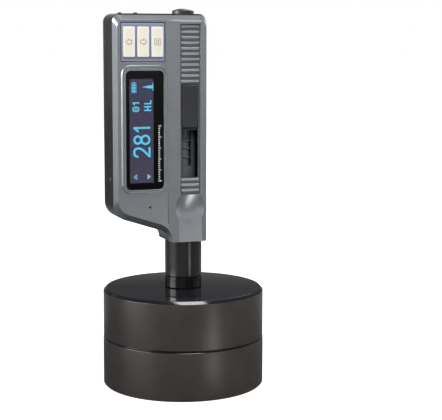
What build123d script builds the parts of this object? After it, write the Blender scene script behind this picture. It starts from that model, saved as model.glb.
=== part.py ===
from build123d import *

import os
from math import cos, radians, sqrt, tan

# Hand-held rebound hardness tester standing on its steel test block.
# Millimetres. The origin is the middle of the block's underside, +Z is up and the readout faces -Y.
# Heights of the tester's pieces are counted from its foot, which stands on the block's test face.

os.makedirs("parts", exist_ok=True)

# ---------------------------------------------------------------- clearances
run_gap = 0.05          # radial gap of a running fit
seat_gap = 0.05         # gap between pieces laid against each other
slip_gap = 0.10         # gap round a piece laid in a pocket
free_gap = 0.25         # gap round a piece that moves through an opening

# ---------------------------------------------------------------- test block
block_dia = 90.0
block_height = 55.0
block_edge = 1.6        # chamfer round the test face
block_foot_edge = 1.0   # chamfer round the underside
block_groove_width = 1.4
block_groove_depth = 0.8
block_foot_step = 0.2   # radius that the lower half has over the upper

# ---------------------------------------------------------------- case outline
case_left = -42.5       # X of the left side, with the guide tube's axis at X = 0
case_right = 11.0
case_top = 152.0
case_depth = 25.0
part_line = 8.0         # distance of the parting plane in front of the tube's axis
wall = 1.8
corner_radius = 4.5     # upper corners
heel_radius = 9.0       # lower left corner
heel_height = 42.4      # where the left side and the sloping underside would meet
chin_angle = 18.1       # slope of the underside
neck_left = -11.0
neck_bottom = 27.3
neck_radius = 6.5       # hollow curve from the underside into the neck
pocket_corner = 0.6     # corners of the channel, slot and other pockets
bevel_side = 1.6        # how far the front shell draws in at its sides
bevel_end = 3.4         # and at its top and underside
bevel_neck = 0.6        # and at the neck's left side
bevel_hollow = 3.5      # radius that the hollow curve gains at the face
rear_round = 2.0        # round of the rear shell's back edges
band_depth = 0.3        # finger band along the rear shell's sides
band_front = 3.4
band_back = 6.4
band_low = 51.0
band_drop = 6.0
tongue_depth = 1.1      # tongue of the front shell in the rear shell's rebate

# ---------------------------------------------------------------- raised spine, channel and ribs
spine_rise = 0.7
spine_left = -12.5
spine_flat = 6.7        # half width of the spine's flat crest
channel_width = 11.6
channel_low = 53.5
channel_top_rim = 5.3   # case above the channel
channel_depth = 1.2
rib_width = 10.2
rib_radius = 0.85
rib_pitch = 2.95
rib_count = 11
rib_drop = 6.8          # highest grip rib below the top of the case
low_rib_count = 3
low_rib_first = 56.0
slot_width = 9.6
slot_low = 62.7
slot_high = 114.2
dish_radius = 9.0       # rim of the thumb dish
dish_depth = 2.4
dish_height = 46.4
seam_width = 0.7        # short seam line beside the spine
seam_depth = 0.5
seam_low = 37.3
seam_high = 54.5

# ---------------------------------------------------------------- readout window
window_width = 21.4
window_height = 64.5
window_x = -25.75
window_z = 89.35
window_radius = 2.8
window_ledge = 1.0
lens_thick = 1.1
lens_sink = 0.1         # lens face behind the case face
mask_thick = 0.2
bead_side = 2.4
bead_above = 3.0
bead_below = 2.1
bead_rise = 0.7
bead_groove = 0.45
bead_slope = 35
panel_glass_width = 13.4    # lit area of the readout
panel_glass_height = 56.4
panel_x = -27.3
panel_z = 89.0
module_width = 24.0
module_height = 62.0
module_thick = 2.0
cushion_width = 15.0
cushion_height = 44.0
sound_hole_dia = 1.5
sound_hole_x = -22.9
sound_hole_z = 47.3

# ---------------------------------------------------------------- keys
key_count = 3
key_width = 6.6
key_height = 16.2
key_pitch = 7.87
key_x = -26.45          # middle key
key_drop = 15.15        # middle of the keys below the top of the case
key_radius = 0.7
key_proud = 0.25        # key face over the case face
key_travel = 0.8
key_flange = 0.3        # flange round the key's foot
key_flange_thick = 0.6
key_plate_width = 25.1
key_plate_height = 21.3
key_plate_thick = 1.0
key_plate_sink = 0.4
key_ledge = 0.85        # ledge that carries the key plate at its sides
key_ledge_end = 1.9     # and at its ends

# ---------------------------------------------------------------- board and what it carries
board_front = 5.6       # distance of the board's front face in front of the tube's axis
board_thick = 1.6
board_left = -40.0
board_right = -9.0
board_low = 44.0
board_drop = 4.0        # board's upper edge below the top of the case
board_corner = 6.0
screw_shank = 1.9
screw_head = 3.8
screw_head_height = 1.5
screw_bite = 3.2        # length of screw in the front shell's post
screw_floor = 6.0       # depth of the counterbore from the back
front_post_dia = 4.4
rear_post_dia = 6.0
screw_spots = [(-37.5, 124.05), (-11.4, 124.2), (-37.3, 50.6), (-11.4, 51.0)]
switch_size = 4.5
switch_height = 0.8
switch_dome_dia = 2.4
switch_dome_height = 0.3
buzzer_dia = 8.4
buzzer_height = 4.2
chip_size = 9.0
chip_height = 1.2
battery_width = 25.0
battery_height = 58.0
battery_thick = 7.0
battery_x = -24.6
battery_z = 87.0
tape_thick = 0.7
cell_lead_dia = 1.2
cell_lead_bend = 2.2
cell_lead_x = -30.0     # where the lead leaves the battery
cell_pad_x = -33.0      # and where it lies on the board
cell_lead_rise = 5.0
cell_pad_low = 8.0      # over the battery's upper end
cell_pad_length = 4.0
socket_width = 8.9
socket_thick = 3.2
socket_length = 7.4
port_x = -32.4

# ---------------------------------------------------------------- port flap
flap_length = 11.2
flap_width = 5.4
flap_thick = 1.0
flap_rib_rise = 0.6
flap_rib_width = 1.4
flap_rib_inset = 0.5

# ---------------------------------------------------------------- guide tube and foot
tube_dia = 20.6         # the part below the case
tube_neck_step = 1.7    # neck's radius over the upper tube's
tube_upper_wall = 1.9
spring_room = 1.55      # between the impact body's bore and the tube's, for the loading spring
tube_drop = 7.5         # tube's upper end below the top of the case
flange_step = 0.4       # flange's radius over the neck's
flange_thick = 1.8
ring_height = 6.7       # support ring under the tube
ring_bore = 8.0
ring_spigot = 2.6
ring_edge = 0.5
tube_edge = 0.3
coil_cavity_dia = 16.4
coil_cavity_top = 22.0
guide_seat = 24.0       # seat of the guide bush
guide_top = 50.0
guide_bore = 6.9
slit_width = 5.4
coil_flange = 1.0
coil_core_wall = 0.9
lead_clearance = 0.8    # the coil lead's line outside the upper tube
lead_hole_dia = 1.3
lead_dia = 1.0
lead_top = 36.5
lead_bend = 3.0
lead_pad = 4.0          # length of lead laid on the board
lead_end_x = -15.5
saddle_thick = 1.6
saddle_drops = [12.5, 32.5]    # upper saddles below the top of the case
rear_saddle_heights = [44.0, 82.0]
front_saddle_heights = [59.2]

# ---------------------------------------------------------------- loading slider
slider_low = 90.3
slider_high = 113.8
slider_sink = 0.35      # slider face behind the spine's crest
slider_travel = 25.0
slider_bevel = 0.5
slider_scoop = 0.6
slider_flange = 1.4
slider_flange_thick = 1.2
stem_height = 16.0
carriage_low = 84.0
carriage_high = 116.0
carriage_bore = 5.0
stem_pocket = 1.75      # depth of the stem's pocket in the carriage
chuck_low = 48.0
chuck_grip = 8.0        # length of the chuck that screws into the carriage
chuck_wall = 0.9
jaw_slot = 0.7
jaw_length = 9.0
jaw_lip = 0.15

# ---------------------------------------------------------------- impact body
ball_dia = 3.0
ball_rise = 0.05        # ball above the test face
nose_top = 8.0
body_top = 20.0
body_knob_low = 24.0
body_knob_top = 27.0
body_knob_dia = 4.5
body_neck_dia = 3.0
magnet_dia = 3.6
magnet_length = 5.5
nose_spigot = 1.4

# ---------------------------------------------------------------- release button
button_dia = 12.0
button_proud = 3.0
button_lip = 0.8        # flange outside the button's crown
button_flange_thick = 1.6
button_dome = 1.2
button_wall = 1.4       # wall round the spring's seat inside the button
button_recess = 1.0     # depth of that seat
rod_hold = 3.0          # length of rod held in the button
rod_dia = 2.0
rod_low = 55.0
rod_collar = 66.0
rod_collar_dia = 4.4
rod_collar_height = 1.5
bush_height = 9.0

# ---------------------------------------------------------------- springs
loading_wire = 0.9
loading_turns = 8
impact_wire = 0.5
impact_turns = 10
impact_rest_gap = 1.0   # gap between the impact body's knob and its spring
button_wire = 0.7
spring_slip = 0.3       # gap between a spring and what it goes round
wire_sides = 6
button_turns = 3

# ---------------------------------------------------------------- side screw
side_screw_y = -0.4
side_screw_z = 62.1
side_head_dia = 2.4
side_head_height = 0.9
side_shank_dia = 1.4
side_shank_length = 5.0

# ---------------------------------------------------------------- sizes that follow
half_depth = case_depth / 2
foot = block_height                             # height of the tester's foot over the origin
front = Plane(origin=(0, 0, foot), x_dir=(1, 0, 0), z_dir=(0, -1, 0))   # drawn as X and height
level = Plane.XY.offset(foot)
crest = half_depth + spine_rise
inner_front = half_depth - wall                 # front shell's inner face
inner_back = half_depth - wall                  # rear shell's inner face, behind the axis
face_right = case_right - bevel_side
board_back = board_front - board_thick
tube_r = tube_dia / 2
bore_r = guide_bore / 2 + spring_room
upper_r = bore_r + tube_upper_wall
lead_radius = upper_r + lead_clearance           # where the coil lead's hole lies
tube_neck_r = upper_r + tube_neck_step
tube_flange_r = tube_neck_r + flange_step
tube_top = case_top - tube_drop
channel_high = case_top - channel_top_rim
band_high = case_top - band_drop
board_high = case_top - board_drop
key_z = case_top - key_drop
rear_saddles = rear_saddle_heights + [case_top - drop for drop in saddle_drops]
front_saddles = front_saddle_heights + [case_top - drop for drop in saddle_drops]
slider_width = slot_width - 2 * free_gap
coil_low = ring_height + ring_spigot
key_centres = [(key_x + (i - (key_count - 1) / 2) * key_pitch, key_z) for i in range(key_count)]
lens_front = half_depth - lens_sink
lens_back = lens_front - lens_thick
mask_back = lens_back - mask_thick
bead_z = window_z + (bead_above - bead_below) / 2


def section(depth=0.0, inset=0.0):
    """Outline of the case, depth behind the parting plane's outline towards the face, drawn in by inset."""
    share = depth / (half_depth - part_line)
    side = inset + share * bevel_side
    end = inset + share * bevel_end
    neck = neck_left + inset + share * bevel_neck
    slope = tan(radians(chin_angle))
    left, right = case_left + side, case_right - side
    heel = heel_height + end / cos(radians(chin_angle)) - slope * side
    throat = heel - slope * (neck - left)
    bottom = neck_bottom + inset
    half_turn = radians(90 - chin_angle) / 2
    hollow = min(neck_radius + inset + share * bevel_hollow, 0.97 * (throat - bottom) / tan(half_turn))
    upper = max(corner_radius - inset, 0.4)
    top = case_top - end
    points = [(right, bottom), (right, top), (left, top), (left, heel), (neck, throat), (neck, bottom)]
    radii = [0, upper, upper, max(heel_radius - inset, 1), hollow, 0]
    with BuildSketch() as outline:
        with BuildLine():
            FilletPolyline(*points, radius=radii, close=True)
        make_face()
    return outline.sketch


def window_shape(inset):
    """Window opening drawn in by inset."""
    RectangleRounded(window_width - 2 * inset, window_height - 2 * inset, window_radius - inset)


def write(piece, name):
    piece.part.label = name
    export_step(piece.part, f"parts/{name}.step")


# ================================================================ test block
with BuildPart() as test_block:
    with BuildSketch(Plane.XZ):
        with BuildLine():
            upper_edge = block_dia / 2
            lower_edge = upper_edge + block_foot_step
            middle = block_height / 2
            half_groove = block_groove_width / 2
            Polyline(
                (0, 0),
                (lower_edge - block_foot_edge, 0),
                (lower_edge, block_foot_edge),
                (lower_edge, middle - half_groove),
                (upper_edge - block_groove_depth, middle),
                (upper_edge, middle + half_groove),
                (upper_edge, block_height - block_edge),
                (upper_edge - block_edge, block_height),
                (0, block_height),
                close=True,
            )
        make_face()
    revolve(axis=Axis.Z)
write(test_block, "test_block")

# ================================================================ front shell
with BuildPart() as spine:
    with BuildSketch(level.offset(neck_bottom)):
        with BuildLine():
            Polyline(
                (spine_left, -half_depth),
                (-spine_flat, -crest),
                (spine_flat, -crest),
                (face_right, -half_depth),
                (face_right, -inner_front),
                (spine_left, -inner_front),
                close=True,
            )
        make_face()
    extrude(amount=case_top - bevel_end - neck_bottom)
    chamfer(spine.edges().filter_by(Axis.X).group_by(Axis.Z)[-1].sort_by(Axis.Y)[:1], length=spine_rise)
    with BuildSketch(front.offset(crest)):
        add(section(half_depth - part_line))
    extrude(amount=-(spine_rise + wall), mode=Mode.INTERSECT)

with BuildPart() as front_shell:
    with BuildSketch(front.offset(part_line)):
        add(section())
    with BuildSketch(front.offset(half_depth)):
        add(section(half_depth - part_line))
    loft(ruled=True)
    add(spine.part)

    # raised double bead round the readout window
    with BuildSketch(front.offset(half_depth)):
        with Locations((window_x, bead_z)):
            bead_width = window_width + 2 * bead_side
            bead_height = window_height + bead_above + bead_below
            RectangleRounded(bead_width, bead_height, window_radius + bead_side)
    extrude(amount=bead_rise, taper=bead_slope)
    with BuildSketch(front.offset(half_depth + bead_rise)):
        with Locations((window_x, bead_z)):
            groove_width = window_width + bead_side
            groove_height = window_height + (bead_above + bead_below) / 2
            groove_radius = window_radius + bead_side / 2
            RectangleRounded(groove_width, groove_height, groove_radius)
            RectangleRounded(
                groove_width - 2 * bead_groove,
                groove_height - 2 * bead_groove,
                groove_radius - bead_groove,
                mode=Mode.SUBTRACT,
            )
    extrude(amount=-bead_groove, mode=Mode.SUBTRACT)

    # hollow inside, with the same draw as the outside
    with BuildSketch(front.offset(part_line)):
        add(section(0, wall))
    with BuildSketch(front.offset(inner_front)):
        add(section(inner_front - part_line, wall))
    loft(ruled=True, mode=Mode.SUBTRACT)

    # tongue that enters the rear shell
    with BuildSketch(front.offset(part_line)):
        add(section(0, wall / 2 + slip_gap))
        add(section(0, wall), mode=Mode.SUBTRACT)
    extrude(amount=-tongue_depth)

    # pad behind the thumb dish, posts for the screws and saddles for the guide tube
    with BuildSketch(front.offset(inner_front)):
        with Locations((0, dish_height)):
            Rectangle(2 * dish_radius - 1, 2 * dish_radius)
    extrude(amount=-dish_depth)
    with BuildSketch(front.offset(inner_front)):
        with Locations(*screw_spots):
            Circle(front_post_dia / 2)
    extrude(amount=-(inner_front - board_front - seat_gap))
    with BuildSketch(front.offset(inner_front)):
        with Locations(*[(0, z) for z in front_saddles]):
            Rectangle(2 * upper_r + 3, saddle_thick)
    extrude(amount=-(inner_front - upper_r / 2))
    with Locations((0, 0, foot + (case_top + neck_bottom) / 2)):
        Cylinder(upper_r + seat_gap, case_top - neck_bottom - 2 * wall, mode=Mode.SUBTRACT)

    # pockets and holes from the front
    with BuildSketch(front.offset(crest)):
        with Locations((0, (channel_low + channel_high) / 2)):
            RectangleRounded(channel_width, channel_high - channel_low, pocket_corner)
    extrude(amount=-channel_depth, mode=Mode.SUBTRACT)
    ribs = [case_top - rib_drop - i * rib_pitch for i in range(rib_count)]
    ribs += [low_rib_first + i * rib_pitch for i in range(low_rib_count)]
    with BuildSketch(Plane.YZ):
        with Locations(*[(-crest + channel_depth, foot + height) for height in ribs]):
            Circle(rib_radius)
    extrude(amount=rib_width / 2, both=True)
    with BuildSketch(front.offset(crest)):
        with Locations((0, (slot_low + slot_high) / 2)):
            RectangleRounded(slot_width, slot_high - slot_low, pocket_corner)
    extrude(amount=-(crest - part_line), mode=Mode.SUBTRACT)
    dish_ball = (dish_radius**2 + dish_depth**2) / (2 * dish_depth)
    with Locations((0, -crest + dish_depth - dish_ball, foot + dish_height)):
        Sphere(dish_ball, mode=Mode.SUBTRACT)
    with BuildSketch(front.offset(half_depth)):
        with Locations((spine_left, (seam_low + seam_high) / 2)):
            Rectangle(seam_width, seam_high - seam_low)
    extrude(amount=-seam_depth, mode=Mode.SUBTRACT)
    with BuildSketch(front.offset(half_depth + bead_rise)):
        with Locations((window_x, window_z)):
            window_shape(0)
    extrude(amount=-(half_depth + bead_rise - mask_back), mode=Mode.SUBTRACT)
    with BuildSketch(front.offset(half_depth)):
        with Locations((window_x, window_z)):
            window_shape(window_ledge)
        with Locations((sound_hole_x, sound_hole_z)):
            Circle(sound_hole_dia / 2)
        with Locations((key_x, key_z)):
            Rectangle(key_plate_width - 2 * key_ledge, key_plate_height - 2 * key_ledge_end)
    extrude(amount=-(half_depth - part_line), mode=Mode.SUBTRACT)
    with BuildSketch(front.offset(half_depth)):
        with Locations((key_x, key_z)):
            RectangleRounded(key_plate_width, key_plate_height, pocket_corner)
    extrude(amount=-(key_plate_sink + key_plate_thick + seat_gap), mode=Mode.SUBTRACT)
    with BuildSketch(front.offset(board_front)):
        with Locations(*screw_spots):
            Circle(screw_shank / 2 + run_gap)
    extrude(amount=screw_bite, mode=Mode.SUBTRACT)
    # the tube's way out through the neck
    with Locations((0, 0, foot + neck_bottom)):
        Cylinder(tube_neck_r + seat_gap, 3 * wall, mode=Mode.SUBTRACT)
write(front_shell, "front_shell")

# ================================================================ rear shell
with BuildPart() as rear_shell:
    with BuildSketch(front.offset(part_line)):
        add(section())
    extrude(amount=-(part_line + half_depth))
    fillet(rear_shell.faces().sort_by(Axis.Y)[-1].edges(), radius=rear_round)
    with BuildSketch(front.offset(part_line)):
        add(section(0, wall))
    extrude(amount=-(part_line + inner_back), mode=Mode.SUBTRACT)
    with BuildSketch(front.offset(part_line)):
        add(section(0, wall / 2))
    extrude(amount=-(tongue_depth + slip_gap), mode=Mode.SUBTRACT)

    # screw posts and the saddles that carry the guide tube
    with BuildSketch(front.offset(-inner_back)):
        with Locations(*screw_spots):
            Circle(rear_post_dia / 2)
    extrude(amount=inner_back + board_back - seat_gap)
    with BuildSketch(front.offset(-inner_back)):
        with Locations(*[((case_right - upper_r) / 2 - wall, z) for z in rear_saddles]):
            Rectangle(case_right + upper_r, saddle_thick)
    extrude(amount=inner_back)
    with Locations((0, 0, foot + (case_top + neck_bottom) / 2)):
        Cylinder(upper_r + seat_gap, case_top - neck_bottom - 2 * wall, mode=Mode.SUBTRACT)
    with BuildSketch(front.offset(-half_depth)):
        with Locations(*screw_spots):
            Circle(screw_head / 2 + slip_gap)
    extrude(amount=screw_floor, mode=Mode.SUBTRACT)
    with BuildSketch(front.offset(-half_depth)):
        with Locations(*screw_spots):
            Circle(screw_shank / 2 + slip_gap)
    extrude(amount=case_depth, mode=Mode.SUBTRACT)

    # finger bands, release button hole, port recess and the tube's way out
    with BuildSketch(front.offset(band_front)):
        band_mid = (band_low + band_high) / 2
        with Locations((case_left, band_mid), (case_right, band_mid)):
            Rectangle(2 * band_depth, band_high - band_low)
    extrude(amount=-(band_front + band_back), mode=Mode.SUBTRACT)
    with Locations((0, 0, foot + case_top)):
        Cylinder(button_dia / 2 + free_gap, 3 * wall, mode=Mode.SUBTRACT)
    port_y = -board_back + socket_thick / 2
    with BuildSketch(level.offset(case_top)):
        with Locations((port_x, port_y)):
            RectangleRounded(flap_length + 2 * slip_gap, flap_width + 2 * slip_gap, pocket_corner)
    extrude(amount=-(flap_thick + seat_gap), mode=Mode.SUBTRACT)
    with BuildSketch(level.offset(case_top)):
        with Locations((port_x, port_y)):
            Rectangle(socket_width + 2 * slip_gap, socket_thick + 2 * slip_gap)
    extrude(amount=-3 * wall, mode=Mode.SUBTRACT)
    with Locations((0, 0, foot + neck_bottom)):
        Cylinder(tube_neck_r + seat_gap, 3 * wall, mode=Mode.SUBTRACT)

    # post and counterbore of the side screw
    with BuildSketch(Plane.YZ.offset(case_left + wall)):
        with Locations((side_screw_y, foot + side_screw_z)):
            Circle(side_head_dia / 2 + wall / 2)
    extrude(amount=side_shank_length - wall)
    with BuildSketch(Plane.YZ.offset(case_left)):
        with Locations((side_screw_y, foot + side_screw_z)):
            Circle(side_shank_dia / 2 + run_gap)
    extrude(amount=side_shank_length + wall, mode=Mode.SUBTRACT)
    with BuildSketch(Plane.YZ.offset(case_left)):
        with Locations((side_screw_y, foot + side_screw_z)):
            Circle(side_head_dia / 2 + slip_gap)
    extrude(amount=side_head_height + band_depth + slip_gap, mode=Mode.SUBTRACT)
write(rear_shell, "rear_shell")

# ================================================================ readout: lens, mask, module, cushion
with BuildPart() as display_window:
    with BuildSketch(front.offset(lens_back)):
        with Locations((window_x, window_z)):
            window_shape(seat_gap)
    extrude(amount=lens_thick)
    chamfer(display_window.faces().sort_by(Axis.Y)[0].edges(), length=0.25)
write(display_window, "display_window")

with BuildPart() as window_mask:
    with BuildSketch(front.offset(mask_back)):
        with Locations((window_x, window_z)):
            window_shape(slip_gap)
        with Locations((panel_x, panel_z)):
            Rectangle(panel_glass_width, panel_glass_height, mode=Mode.SUBTRACT)
    extrude(amount=mask_thick)
write(window_mask, "window_mask")

module_front = inner_front - seat_gap
with BuildPart() as display_module:
    with BuildSketch(front.offset(module_front)):
        with Locations((panel_x, panel_z)):
            RectangleRounded(module_width, module_height, pocket_corner)
    extrude(amount=-module_thick)
    with BuildSketch(front.offset(module_front)):
        with Locations((panel_x, panel_z)):
            Rectangle(panel_glass_width, panel_glass_height)
    extrude(amount=mask_back - seat_gap - module_front)
write(display_module, "display_module")

with BuildPart() as display_cushion:
    with BuildSketch(front.offset(module_front - module_thick - seat_gap)):
        with Locations((panel_x, panel_z)):
            RectangleRounded(cushion_width, cushion_height, 1)
    extrude(amount=-(module_front - module_thick - board_front - 2 * seat_gap))
write(display_cushion, "display_cushion")

# ================================================================ key plate, keys, mat and switches
key_plate_front = half_depth - key_plate_sink
key_plate_back = key_plate_front - key_plate_thick
flange_front = key_plate_back - seat_gap
flange_back = flange_front - key_flange_thick
mat_front = flange_back - key_travel - seat_gap
switch_top = board_front + switch_height
with BuildPart() as key_plate:
    with BuildSketch(front.offset(key_plate_back)):
        with Locations((key_x, key_z)):
            plate_width = key_plate_width - 2 * slip_gap
            plate_height = key_plate_height - 2 * slip_gap
            RectangleRounded(plate_width, plate_height, pocket_corner - slip_gap)
        with Locations(*key_centres):
            RectangleRounded(
                key_width + 2 * slip_gap, key_height + 2 * slip_gap, key_radius + slip_gap, mode=Mode.SUBTRACT
            )
    extrude(amount=key_plate_thick)
write(key_plate, "key_plate")

for name, centre in zip(("key_left", "key_middle", "key_right"), key_centres):
    with BuildPart() as key:
        with BuildSketch(front.offset(flange_back)):
            with Locations(centre):
                RectangleRounded(key_width + 2 * key_flange, key_height + 2 * key_flange, key_radius)
        extrude(amount=key_flange_thick)
        with BuildSketch(front.offset(flange_front)):
            with Locations(centre):
                RectangleRounded(key_width, key_height, key_radius)
        extrude(amount=half_depth + key_proud - flange_front)
        fillet(key.faces().sort_by(Axis.Y)[0].edges(), radius=0.4)
    write(key, name)

with BuildPart() as keypad_mat:
    with BuildSketch(front.offset(mat_front)):
        with Locations((key_x, key_z)):
            RectangleRounded(2 * key_pitch + key_width, key_height, key_radius)
    extrude(amount=-(mat_front - switch_top - seat_gap))
    for centre in key_centres:
        with BuildSketch(front.offset(switch_top)):
            with Locations(centre):
                Circle(switch_dome_dia)
        extrude(amount=switch_dome_height + 2 * seat_gap, mode=Mode.SUBTRACT)
write(keypad_mat, "keypad_mat")

with BuildPart() as key_switches:
    with BuildSketch(front.offset(board_front)):
        with Locations(*key_centres):
            RectangleRounded(switch_size, switch_size, pocket_corner)
    extrude(amount=switch_height)
    with BuildSketch(front.offset(switch_top)):
        with Locations(*key_centres):
            Circle(switch_dome_dia / 2)
    extrude(amount=switch_dome_height, taper=30)
write(key_switches, "key_switches")

# ================================================================ board, chips, buzzer, socket, battery
with BuildPart() as main_board:
    with BuildSketch(front.offset(board_front)):
        with BuildLine():
            FilletPolyline(
                (board_right, board_low),
                (board_right, board_high),
                (board_left, board_high),
                (board_left, board_low),
                radius=[1, 1, corner_radius, board_corner],
                close=True,
            )
        make_face()
        with Locations(*screw_spots):
            Circle(screw_shank / 2 + slip_gap, mode=Mode.SUBTRACT)
    extrude(amount=-board_thick)
write(main_board, "main_board")

with BuildPart() as board_chips:
    with BuildSketch(front.offset(board_back)):
        with Locations((-25.0, 133.0), (-27.0, 50.0)):
            Rectangle(chip_size, chip_size)
        with Locations((-15.5, 134.0)):
            Rectangle(chip_size / 2, chip_size)
    extrude(amount=-chip_height)
    chamfer(board_chips.faces().filter_by(Axis.Y).group_by(Axis.Y)[-1].edges(), length=0.2)
write(board_chips, "board_chips")

with BuildPart() as buzzer:
    with BuildSketch(front.offset(board_front)):
        with Locations((sound_hole_x, sound_hole_z + 1)):
            Circle(buzzer_dia / 2)
    extrude(amount=buzzer_height)
    fillet(buzzer.faces().sort_by(Axis.Y)[0].edges(), radius=0.5)
    with BuildSketch(front.offset(board_front + buzzer_height)):
        with Locations((sound_hole_x, sound_hole_z + 1)):
            Circle(sound_hole_dia / 2)
    extrude(amount=-buzzer_height / 2, mode=Mode.SUBTRACT)
write(buzzer, "buzzer")

socket_top = case_top - flap_thick - wall / 3
with BuildPart() as usb_socket:
    with BuildSketch(level.offset(socket_top)):
        with Locations((port_x, port_y)):
            RectangleRounded(socket_width, socket_thick, socket_thick * 0.45)
    extrude(amount=-socket_length)
    with BuildSketch(level.offset(socket_top)):
        with Locations((port_x, port_y)):
            RectangleRounded(socket_width - 0.6, socket_thick - 0.6, socket_thick * 0.4)
            Rectangle(socket_width - 2.3, socket_thick / 4, mode=Mode.SUBTRACT)
    extrude(amount=-(socket_length - 1), mode=Mode.SUBTRACT)
write(usb_socket, "usb_socket")

with BuildPart() as battery:
    with BuildSketch(front.offset(-(inner_back - tape_thick - seat_gap))):
        with Locations((battery_x, battery_z)):
            RectangleRounded(battery_width, battery_height, 2)
    extrude(amount=battery_thick)
    fillet(battery.edges().filter_by(Plane.XZ), radius=1.2)
write(battery, "battery")

with BuildPart() as battery_tape:
    with BuildSketch(front.offset(-inner_back)):
        with Locations((battery_x, battery_z)):
            Rectangle(battery_width * 0.8, battery_height * 0.8)
    extrude(amount=tape_thick)
write(battery_tape, "battery_tape")

battery_top = battery_z + battery_height / 2 + seat_gap
cell_y = inner_back - tape_thick - seat_gap - battery_thick / 2
cell_pad_y = -board_back + cell_lead_dia / 2 + seat_gap
with BuildPart() as battery_lead:
    with BuildLine(level):
        cell_path = FilletPolyline(
            (cell_lead_x, cell_y, battery_top),
            (cell_lead_x, cell_y, battery_top + cell_lead_rise),
            (cell_pad_x, cell_pad_y, battery_top + cell_pad_low),
            (cell_pad_x, cell_pad_y, battery_top + cell_pad_low + cell_pad_length),
            radius=cell_lead_bend,
        )
    with BuildSketch(Plane(origin=cell_path @ 0, z_dir=cell_path % 0)):
        Circle(cell_lead_dia / 2)
    sweep()
write(battery_lead, "battery_lead")

# ================================================================ screws
screw_seat = half_depth - screw_floor
screw_end = board_front + screw_bite - slip_gap
with BuildPart() as case_screws:
    with BuildSketch(front.offset(-screw_seat)):
        with Locations(*screw_spots):
            Circle(screw_head / 2)
    extrude(amount=-screw_head_height)
    with BuildSketch(front.offset(-screw_seat - screw_head_height)):
        with Locations(*screw_spots):
            Rectangle(screw_head * 0.6, 0.5)
            Rectangle(0.5, screw_head * 0.6)
    extrude(amount=screw_head_height / 2, mode=Mode.SUBTRACT)
    with BuildSketch(front.offset(-screw_seat)):
        with Locations(*screw_spots):
            Circle(screw_shank / 2)
    extrude(amount=screw_seat + screw_end)
write(case_screws, "case_screws")

side_head_seat = case_left + band_depth + side_head_height + slip_gap
with BuildPart() as side_screw:
    with BuildSketch(Plane.YZ.offset(side_head_seat)):
        with Locations((side_screw_y, foot + side_screw_z)):
            Circle(side_head_dia / 2)
    extrude(amount=-side_head_height)
    fillet(side_screw.faces().sort_by(Axis.X)[0].edges(), radius=0.3)
    with BuildSketch(Plane.YZ.offset(side_head_seat - side_head_height)):
        with Locations((side_screw_y, foot + side_screw_z)):
            Rectangle(side_head_dia, 0.4)
    extrude(amount=side_head_height / 2, mode=Mode.SUBTRACT)
    with BuildSketch(Plane.YZ.offset(side_head_seat)):
        with Locations((side_screw_y, foot + side_screw_z)):
            Circle(side_shank_dia / 2)
    extrude(amount=side_shank_length - side_head_height)
write(side_screw, "side_screw")

# ================================================================ port flap
with BuildPart() as port_flap:
    with BuildSketch(level.offset(case_top - flap_thick)):
        with Locations((port_x, port_y)):
            RectangleRounded(flap_length, flap_width, pocket_corner)
    extrude(amount=flap_thick)
    with BuildSketch(level.offset(case_top)):
        for side in (-1, 1):
            with Locations((port_x + side * (flap_length / 2 - flap_rib_inset - flap_rib_width / 2), port_y)):
                SlotOverall(flap_width - 1, flap_rib_width, rotation=90)
    extrude(amount=flap_rib_rise, taper=15)
write(port_flap, "port_flap")

# ================================================================ guide tube and what it holds
neck_floor = neck_bottom + wall
with BuildPart() as guide_tube:
    with BuildSketch(front):
        with BuildLine():
            Polyline(
                (coil_cavity_dia / 2, ring_height + tube_edge),
                (tube_r - tube_edge, ring_height),
                (tube_r, ring_height + tube_edge),
                (tube_r, neck_bottom - seat_gap),
                (tube_neck_r, neck_bottom - seat_gap),
                (tube_neck_r, neck_floor + seat_gap),
                (tube_flange_r, neck_floor + seat_gap),
                (tube_flange_r, neck_floor + flange_thick),
                (upper_r, neck_floor + flange_thick),
                (upper_r, tube_top),
                (bore_r, tube_top),
                (bore_r, guide_seat),
                (guide_bore / 2 + run_gap, guide_seat),
                (guide_bore / 2 + run_gap, coil_cavity_top),
                (coil_cavity_dia / 2, coil_cavity_top),
                close=True,
            )
        make_face()
    revolve(axis=Axis.Z)
    # slit that the slider's stem runs in
    with BuildSketch(front):
        stem_low = (slider_low + slider_high - stem_height) / 2
        slit_low = stem_low - slider_travel - free_gap
        slit_high = stem_low + stem_height + free_gap
        with Locations((0, (slit_low + slit_high) / 2)):
            RectangleRounded(slit_width, slit_high - slit_low, pocket_corner)
    extrude(amount=tube_r, mode=Mode.SUBTRACT)
    # hole for the coil's lead
    with Locations((-lead_radius, 0, foot + coil_cavity_top)):
        Cylinder(lead_hole_dia / 2, 2 * (neck_floor - coil_cavity_top + flange_thick) + 2, mode=Mode.SUBTRACT)
write(guide_tube, "guide_tube")

with BuildPart() as support_ring:
    with BuildSketch(front):
        with BuildLine():
            Polyline(
                (ring_bore / 2, 0),
                (tube_r - ring_edge, 0),
                (tube_r, ring_edge),
                (tube_r, ring_height - ring_edge - tube_edge),
                (tube_r - ring_edge, ring_height - seat_gap),
                (coil_cavity_dia / 2 - seat_gap, ring_height - seat_gap),
                (coil_cavity_dia / 2 - seat_gap, coil_low - seat_gap),
                (ring_bore / 2, coil_low - seat_gap),
                close=True,
            )
        make_face()
    revolve(axis=Axis.Z)
write(support_ring, "support_ring")

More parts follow.
